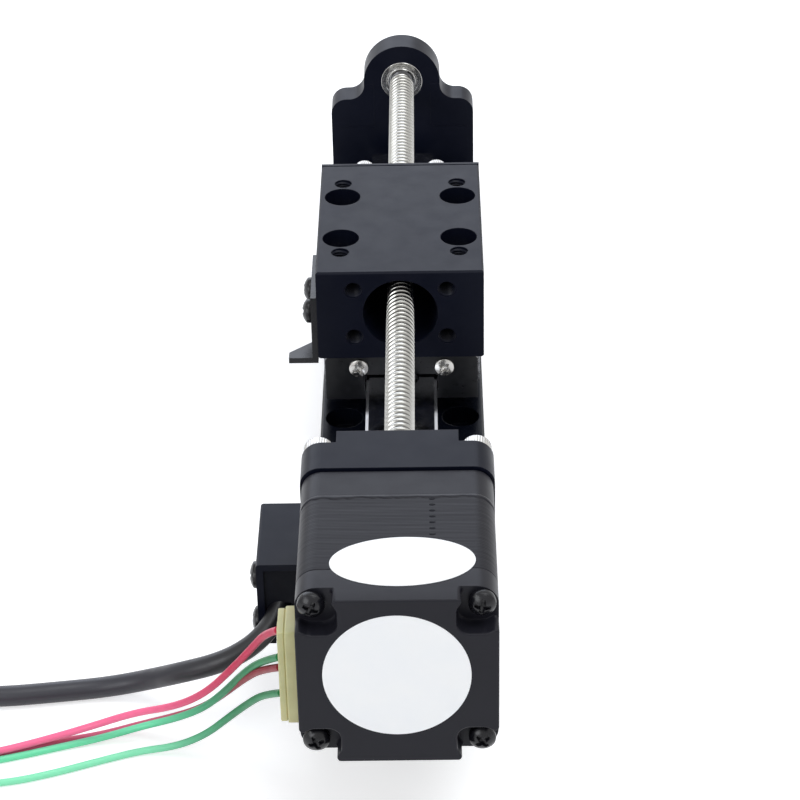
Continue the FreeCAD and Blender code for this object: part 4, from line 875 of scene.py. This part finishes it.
def motor_case():
    """The motor's outside, as hollow pieces: the bells with their rounded corners, the core
    between them, and the pockets in the rear bell's corners that the body screws sit in. The
    pockets' walls flare out towards their floor."""
    outline = motor_outline()
    joint, groove, bevel = 0.12 * MM, 0.4 * MM, 0.25 * MM
    mesh = bmesh.new()
    levels = [
        (POCKET_FLOOR_Y + MOTOR_WALL, MOTOR_WALL),
        (CORE_START_Y, MOTOR_WALL),
        (CORE_START_Y, joint),
        (CORE_START_Y - joint, 0),
        (POCKET_FLOOR_Y, 0),
    ]
    prism(mesh, outline, levels, AXIS_Z)
    tongue = [
        (POCKET_FLOOR_Y + 0.001 * MM, 5.5 * MM, 0),
        (POCKET_FLOOR_Y - 0.25 * MM, 5.65 * MM, 0),
        (POCKET_FLOOR_Y - 0.6 * MM, 5.75 * MM, 0),
        (MOTOR_BACK_Y + bevel, 5.75 * MM, 0),
        (MOTOR_BACK_Y + bevel * 0.3, 5.75 * MM, bevel * 0.3),
        (MOTOR_BACK_Y, 5.75 * MM, bevel),
    ]
    rings = []
    for y, pocket, amount in tongue:
        rings.append(row_at(mesh, inset(tongue_outline(pocket), amount), y, AXIS_Z))
    stack_rings(mesh, rings)
    finished("motor_rear_case", mesh, MOTOR_PAINT, "root", ["motor_rear_bell"], sharp=50)
    mesh = bmesh.new()
    levels = [
        (CORE_START_Y, MOTOR_WALL),
        (CORE_START_Y, joint),
        (CORE_START_Y + joint, 0),
        (CORE_END_Y, 0),
        (CORE_END_Y, MOTOR_WALL),
    ]
    prism(mesh, outline, levels, AXIS_Z, close_round)
    finished("motor_core", mesh, LAMINATED, "root", ["stator_stack"], sharp=50)
    mesh = bmesh.new()
    end = MOUNT_FRONT_Y - 0.02 * MM
    levels = [
        (CORE_END_Y, MOTOR_WALL),
        (CORE_END_Y, 0),
        (MOUNT_FRONT_Y - groove, 0),
        (MOUNT_FRONT_Y - groove * 0.8, groove * 0.8),
        (end, groove),
        (end, MOTOR_WALL),
    ]
    prism(mesh, outline, levels, AXIS_Z, close_round)
    finished("motor_front_case", mesh, MOTOR_PAINT, "root", ["motor_front_bell"], sharp=50)


def paint_edge():
    """The front bell's paint runs over onto the core with a ragged edge."""
    mesh = bmesh.new()
    outline = motor_outline(14)
    rows = []
    for first, second in zip(outline, outline[1:] + outline[:1]):
        parts = max(1, round((second - first).length / (0.35 * MM)))
        for n in range(parts):
            x, z = first.lerp(second, n / parts)
            ragged = noise.noise(Vector((x, z, 0)) / (0.9 * MM)) * 0.35
            ragged += noise.noise(Vector((x, z, 5 * MM)) / (3.2 * MM)) * 0.3
            edge = CORE_END_Y - (0.45 + ragged) * MM
            outward = Vector((x, 0, z)).normalized() * 0.045 * MM
            place = Vector((x, 0, AXIS_Z + z))
            across = (
                (edge - 0.06 * MM, -0.3),
                (edge, 1),
                (CORE_END_Y + 0.3 * MM, 1),
                (CORE_END_Y + 0.4 * MM, -0.3),
            )
            points = [place + Vector((0, y, 0)) + outward * lift for y, lift in across]
            rows.append([mesh.verts.new(point) for point in points])
    for row, following in zip(rows, rows[1:] + rows[:1]):
        join_rows(mesh, row, following)
    finished("paint_edge", mesh, MOTOR_PAINT, "root", sharp=60)


# The motor's connector
def rounded_box(mesh, low, high, radius, segments=3):
    size = Matrix.Diagonal((*(high - low), 1))
    place = Matrix.Translation((low + high) / 2) @ size
    corners = bmesh.ops.create_cube(mesh, size=1, matrix=place)["verts"]
    edges = list(dict.fromkeys(edge for corner in corners for edge in corner.link_edges))
    bmesh.ops.bevel(
        mesh, geom=edges, offset=radius, segments=segments, profile=0.5, affect="EDGES"
    )


def connector():
    """The header with its side walls, and the plug's housing with a slot for each contact; the
    empty slots' openings are thin dark patches, painted shade.
    """
    mesh = bmesh.new()
    side, start, middle_z = -MOTOR_HALF, MOTOR_BACK_Y + 4.05 * MM, AXIS_Z - 2.1 * MM
    header_reach, plug_reach = 1.7 * MM, 1.0 * MM
    low = Vector((side - header_reach, start, middle_z - 7.8 * MM))
    high = Vector((side, start + 6.5 * MM, middle_z + 7.6 * MM))
    rounded_box(mesh, low, high, 0.3 * MM)
    foot = 0.8 * MM
    turn = Matrix.Rotation(math.radians(90), 4, "Y")
    for y in (low.y + foot, high.y - foot):
        place = Matrix.Translation((low.x, y, low.z + 0.1 * MM)) @ turn
        lathe(mesh, place, [(foot * 0.8, 0.05 * MM), (foot * 0.8, header_reach)], count=24)
    finished("connector_header", mesh, CREAM_NYLON, "root", ["motor_connector_header"])
    mesh = bmesh.new()
    high = Vector((low.x, high.y - 0.3 * MM, high.z - 0.2 * MM))
    low = Vector((low.x - plug_reach, low.y + 0.3 * MM, low.z - 0.15 * MM))
    rounded_box(mesh, low, high, 0.22 * MM)
    collar = Vector((0.12, 0.95, 0.85)) * MM
    for z in LEAD_HEIGHTS + SPARE_HEIGHTS:
        middle = Vector((low.x, (low.y + high.y) / 2, z))
        end = middle + Vector((0.3 * MM, collar.y, collar.z))
        rounded_box(mesh, middle - collar, end, 0.1 * MM, 2)
    finished("connector_plug", mesh, CREAM_NYLON, "root", ["motor_plug"])
    # Painted shade: thin dark patches on the faces of the empty slots.
    mesh = bmesh.new()
    for z in SPARE_HEIGHTS:
        middle = Vector((low.x - 0.12 * MM, (low.y + high.y) / 2, z))
        size = Vector((0.01, 0.55, 0.5)) * MM
        rounded_box(mesh, middle - size, middle + size, 0.005 * MM, 1)
    finished("connector_slot_shade", mesh, SLOT_SHADE, "root")


# Cords
MOTOR_LEADS = {
    "motor_lead_1": [
        (-16.45, -106.2, 33.2), (-18.4, -102.6, 30.1), (-20.8, -100.3, 25.5),
        (-24.1, -98.6, 20.4), (-28.0, -96.8, 15.0), (-32.8, -94.0, 10.4), (-39.4, -91.0, 6.9),
        (-46.6, -89.7, 3.2), (-54.0, -91.2, 1.8), (-60.6, -93.6, 1.7), (-66.6, -94.6, 1.8),
        (-72.8, -95.6, 1.9), (-79.0, -96.6, 1.95),
    ],
    "motor_lead_2": [
        (-16.45, -106.2, 28.6), (-19.3, -101.4, 24.3), (-22.3, -97.6, 19.2), (-25.4, -94.7, 13.6),
        (-28.9, -92.2, 8.6), (-33.3, -89.9, 4.9), (-38.7, -88.6, 2.4), (-44.6, -89.6, 1.1),
        (-50.7, -91.0, 0.6), (-57.2, -93.2, 0.6), (-64.2, -95.1, 0.6), (-71.5, -96.8, 0.6),
        (-79.0, -97.9, 0.6),
    ],
    "motor_lead_3": [
        (-16.45, -106.2, 26.8), (-19.5, -101.2, 22.6), (-22.6, -96.9, 17.4), (-25.8, -93.6, 12.2),
        (-29.3, -91.0, 7.7), (-33.7, -88.6, 4.2), (-39.1, -87.3, 1.7), (-45.0, -88.3, 0.6),
        (-50.9, -89.7, 0.6), (-57.1, -92.0, 0.6), (-64.2, -93.8, 0.6), (-71.5, -95.4, 0.6),
        (-79.0, -96.6, 0.6),
    ],
    "motor_lead_4": [
        (-16.45, -106.2, 22.3), (-19.2, -101.6, 18.5), (-22.0, -98.0, 13.9), (-25.1, -95.2, 9.2),
        (-28.7, -93.5, 4.7), (-33.3, -92.4, 1.6), (-39.0, -92.2, 0.6), (-44.7, -94.4, 0.6),
        (-50.8, -96.9, 0.6), (-57.4, -99.0, 0.6), (-64.4, -99.7, 0.7), (-71.7, -99.1, 1.2),
        (-79.0, -97.9, 1.95),
    ],
}
SENSOR_CABLE = [
    (-17.5, -76.3, 17.2), (-18.5, -79.4, 15.5), (-20.5, -82.0, 13.9), (-23.4, -83.8, 12.4),
    (-27.4, -84.6, 10.8), (-33.2, -83.3, 8.2), (-37.7, -79.2, 4.0), (-44.5, -78.1, 1.65),
    (-52.9, -79.3, 1.65), (-61.4, -80.3, 1.65), (-70.0, -79.9, 1.65), (-78.5, -79.8, 1.65),
    (-86.0, -80.1, 1.65),
]
LEAD_COIL_CENTRE = (-79.0, -106.9)
CABLE_COIL_CENTRE = (-86.0, -60.2)
STEPS_PER_TURN = 16


def smooth(value):
    value = max(0.0, min(1.0, value))
    return value * value * (3 - 2 * value)


def coil_points(centre, start_angle, sense, cells, turns):
    """The turns of a coil. Each cell is a turn's (radius, height); the cord moves over to the
    next cell in the last fifth of each turn."""
    points = []
    for i in range(1, int(turns * STEPS_PER_TURN) + 1):
        turn = i / STEPS_PER_TURN
        k = min(int(turn), len(cells) - 1)
        here, ahead = cells[k], cells[min(k + 1, len(cells) - 1)]
        share = smooth((turn - k - 0.78) / 0.22)
        radius = here[0] + (ahead[0] - here[0]) * share
        height = here[1] + (ahead[1] - here[1]) * share
        angle = math.radians(start_angle) + sense * math.tau * turn
        x = centre[0] + radius * math.cos(angle)
        y = centre[1] + radius * math.sin(angle)
        points.append((x, y, height))
    return points


def turn_into_plug(centre, start_x, end_x, from_height, to_height, drop):
    """A half turn from the inside of a coil back into the plug's end face."""
    radius = (end_x - start_x) / 2
    points = []
    for k in range(1, 7):
        angle = math.radians(30 * k)
        x = centre[0] + start_x + radius - radius * math.cos(angle)
        y = centre[1] - drop - abs(radius) * math.sin(angle)
        points.append((x, y, from_height + (to_height - from_height) * k / 6))
    return points


def cord(name, points, diameter, material, nodes):
    """A cord along one smooth line, with the route's points as its control points."""
    data = bpy.data.curves.new(name, "CURVE")
    data.dimensions = "3D"
    data.bevel_depth = diameter / 2
    data.bevel_resolution = 5
    data.resolution_u = 8
    data.use_fill_caps = True
    spline = data.splines.new("NURBS")
    spline.points.add(len(points) - 1)
    for point, (x, y, z) in zip(spline.points, points):
        point.co = (x * MM, y * MM, z * MM, 1.0)
    spline.order_u = 3
    spline.use_endpoint_u = True
    data.materials.append(material)
    piece = bpy.data.objects.new(name, data)
    bpy.context.scene.collection.objects.link(piece)
    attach(piece, "root")
    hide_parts(*nodes)


def plug_housing(name, node, material, ways, far):
    """A small housing on a cord's end, with a row of thin dark patches on its far face, painted
    shade for its contact openings.
    """
    low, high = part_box(node)
    mesh = bmesh.new()
    rounded_box(mesh, low, high, 0.4 * MM)
    rib = Vector((0.5, 1.6, 0.35)) * MM
    top = Vector(((low.x + high.x) / 2, (low.y + high.y) / 2, high.z))
    rounded_box(mesh, top - rib, top + Vector((rib.x, rib.y, 0.3 * MM)), 0.12 * MM, 2)
    piece = finished(name, mesh, material, "root", [node])
    # Painted shade: thin dark patches where the contact openings are.
    mesh = bmesh.new()
    pitch = (high.x - low.x) / (ways + 0.6)
    y = high.y if far else low.y
    for k in range(ways):
        x = (low.x + high.x) / 2 + (k - (ways - 1) / 2) * pitch
        middle = Vector((x, y, (low.z + high.z) / 2))
        size = Vector((pitch * 0.36, 0.02 * MM, pitch * 0.4))
        rounded_box(mesh, middle - size, middle + size, 0.01 * MM, 1)
    mouth_shade = finished(name + "_mouth_shade", mesh, SLOT_SHADE, "root")
    return [piece, mouth_shade]


def motor_leads():
    plug = plug_housing("leads_plug_housing", "motor_leads_plug", CREAM_NYLON, 4, True)
    drop = LEAD_COIL_CENTRE[1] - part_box("motor_leads_plug")[0].y / MM
    plug_height = 2.05
    # Each lead's material, length, coil radius, height in the coil and place in the plug
    looks = {
        "motor_lead_1": (LEAD_PINK, 0.28, 14.35, 1.95, 2.1),
        "motor_lead_2": (LEAD_GREEN, 0.255, 13.05, 0.6, -0.7),
        "motor_lead_3": (LEAD_RED, 0.27, 14.35, 0.6, 0.7),
        "motor_lead_4": (LEAD_DARK_GREEN, 0.25, 13.05, 1.95, -2.1),
    }
    for name, (material, length, radius, height, pin) in looks.items():
        cells = [(radius - 2.6 * k, height) for k in range(3)]
        route = MOTOR_LEADS[name] + coil_points(LEAD_COIL_CENTRE, 90, 1, cells, 2.25)
        inside = -cells[-1][0]
        route += turn_into_plug(LEAD_COIL_CENTRE, inside, pin, height, plug_height, drop)
        nodes = [name] + (["motor_leads_coil"] if name == "motor_lead_1" else [])
        cord(name + "_wire", route, LEAD_DIA, material, nodes)


def sensor_cable():
    plug = plug_housing("cable_plug_housing", "sensor_cable_plug", BLACK_PLASTIC, 3, True)
    drop = CABLE_COIL_CENTRE[1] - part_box("sensor_cable_plug")[0].y / MM
    floor, upper = 1.65, 4.95
    cells = [(17.2, floor), (17.2, upper), (13.9, upper), (13.9, floor)]
    route = SENSOR_CABLE + coil_points(CABLE_COIL_CENTRE, 270, -1, cells, 3.75)
    route += turn_into_plug(CABLE_COIL_CENTRE, cells[-1][0], 0.0, floor, 2.6, drop)
    nodes = ["sensor_cable", "sensor_cable_coil"]
    cord("sensor_cable_jacket", route, CABLE_DIA, CABLE_BLACK, nodes)


# Camera, floor and light
def camera():
    """The photograph's view: place in the row frame, angles in degrees, focal length in
    pixels of an 800 pixel wide image."""
    place = Vector((5.12, -396.25, 251.96)) * MM
    pitch, yaw, roll = (math.radians(a) for a in (32.07, -0.82, -1.195))
    focal, width, sensor = 2640.8, 800, 36.0
    level_ahead = math.cos(pitch)
    forward = Vector(
        (math.sin(yaw) * level_ahead, math.cos(yaw) * level_ahead, -math.sin(pitch))
    )
    level = Vector((math.cos(yaw), -math.sin(yaw), 0))
    upright = level.cross(forward)
    right = math.cos(roll) * level + math.sin(roll) * upright
    up = -math.sin(roll) * level + math.cos(roll) * upright
    data = bpy.data.cameras.new("camera")
    data.sensor_width = sensor
    data.lens = focal * sensor / width
    data.clip_start = 0.01
    eye = bpy.data.objects.new("camera", data)
    eye.matrix_world = (
        Matrix.Translation(place) @ Matrix((right, up, -forward)).transposed().to_4x4()
    )
    bpy.context.scene.collection.objects.link(eye)
    bpy.context.scene.camera = eye


def lamp(name, place, target, size, power, tint):
    data = bpy.data.lights.new(name, "AREA")
    data.color = tint
    data.shape = "RECTANGLE"
    data.size, data.size_y = size
    data.energy = power
    light = bpy.data.objects.new(name, data)
    light.location = place
    aim = Vector(target) - Vector(place)
    light.rotation_euler = aim.to_track_quat("-Z", "Y").to_euler()
    bpy.context.scene.collection.objects.link(light)


def lights():
    lamp("key", (0.2, -0.12, 0.75), (0, 0, 0), (0.6, 0.6), 3.6, (0.95, 0.98, 1.0))
    lamp("back", (-0.2, 0.8, 0.45), (0, 0, 0.02), (0.9, 0.5), 3.0, (0.78, 0.85, 1.0))
    lamp("fill", (-0.5, -0.7, 0.45), (0, -0.05, 0.02), (0.5, 0.5), 2.8, (0.94, 0.97, 1.0))


def seen_directly(tree):
    """1 for rays from the camera, mirrors and glass, and 0 for the light on the object."""
    path = tree.nodes.new("ShaderNodeLightPath")
    total = path.outputs["Is Camera Ray"]
    for name in ("Is Glossy Ray", "Is Transmission Ray"):
        add = tree.nodes.new("ShaderNodeMath")
        add.operation = "MAXIMUM"
        tree.links.new(total, add.inputs[0])
        tree.links.new(path.outputs[name], add.inputs[1])
        total = add.outputs[0]
    return total


def white_world():
    world = bpy.data.worlds.new("studio")
    bpy.context.scene.world = world
    world.use_nodes = True
    tree = world.node_tree
    background = tree.nodes["Background"]
    background.inputs["Color"].default_value = (1, 1, 1, 1)
    strength = tree.nodes.new("ShaderNodeMapRange")
    strength.inputs["To Min"].default_value = 0.35
    strength.inputs["To Max"].default_value = 1.0
    tree.links.new(seen_directly(tree), strength.inputs["Value"])
    tree.links.new(strength.outputs[0], background.inputs["Strength"])


def floor():
    mesh = bmesh.new()
    size = 6.0
    corners = [(-size, -size), (size, -size), (size, size), (-size, size)]
    mesh.faces.new([mesh.verts.new((x, y, -0.02 * MM)) for x, y in corners])
    data = bpy.data.meshes.new("floor")
    mesh.to_mesh(data)
    mesh.free()
    finish = Finish("floor_white", (0.82, 0.82, 0.83, 1), 0.9)
    finish.shader.inputs["Specular IOR Level"].default_value = 0.1
    finish.vary_roughness(finish.noise(0.2), 0.02)
    finish.shader.inputs["Emission Color"].default_value = (1, 1, 1, 1)
    glow = finish.math("MULTIPLY", seen_directly(finish.tree), 0.55)
    finish.link(glow, finish.shader.inputs["Emission Strength"])
    data.materials.append(finish.material)
    plane = bpy.data.objects.new("floor", data)
    bpy.context.scene.collection.objects.link(plane)


camera()
dress_nodes()
lead_screw()
fasteners()
nut()
carriage_back()
end_plate_shoulders()
end_bearing_face()
sensor_cover()
tapped_holes()
labels()
stack_marks()
motor_case()
paint_edge()
connector()
motor_leads()
sensor_cable()
lights()
white_world()
floor()
bpy.context.scene.view_settings.view_transform = "Standard"
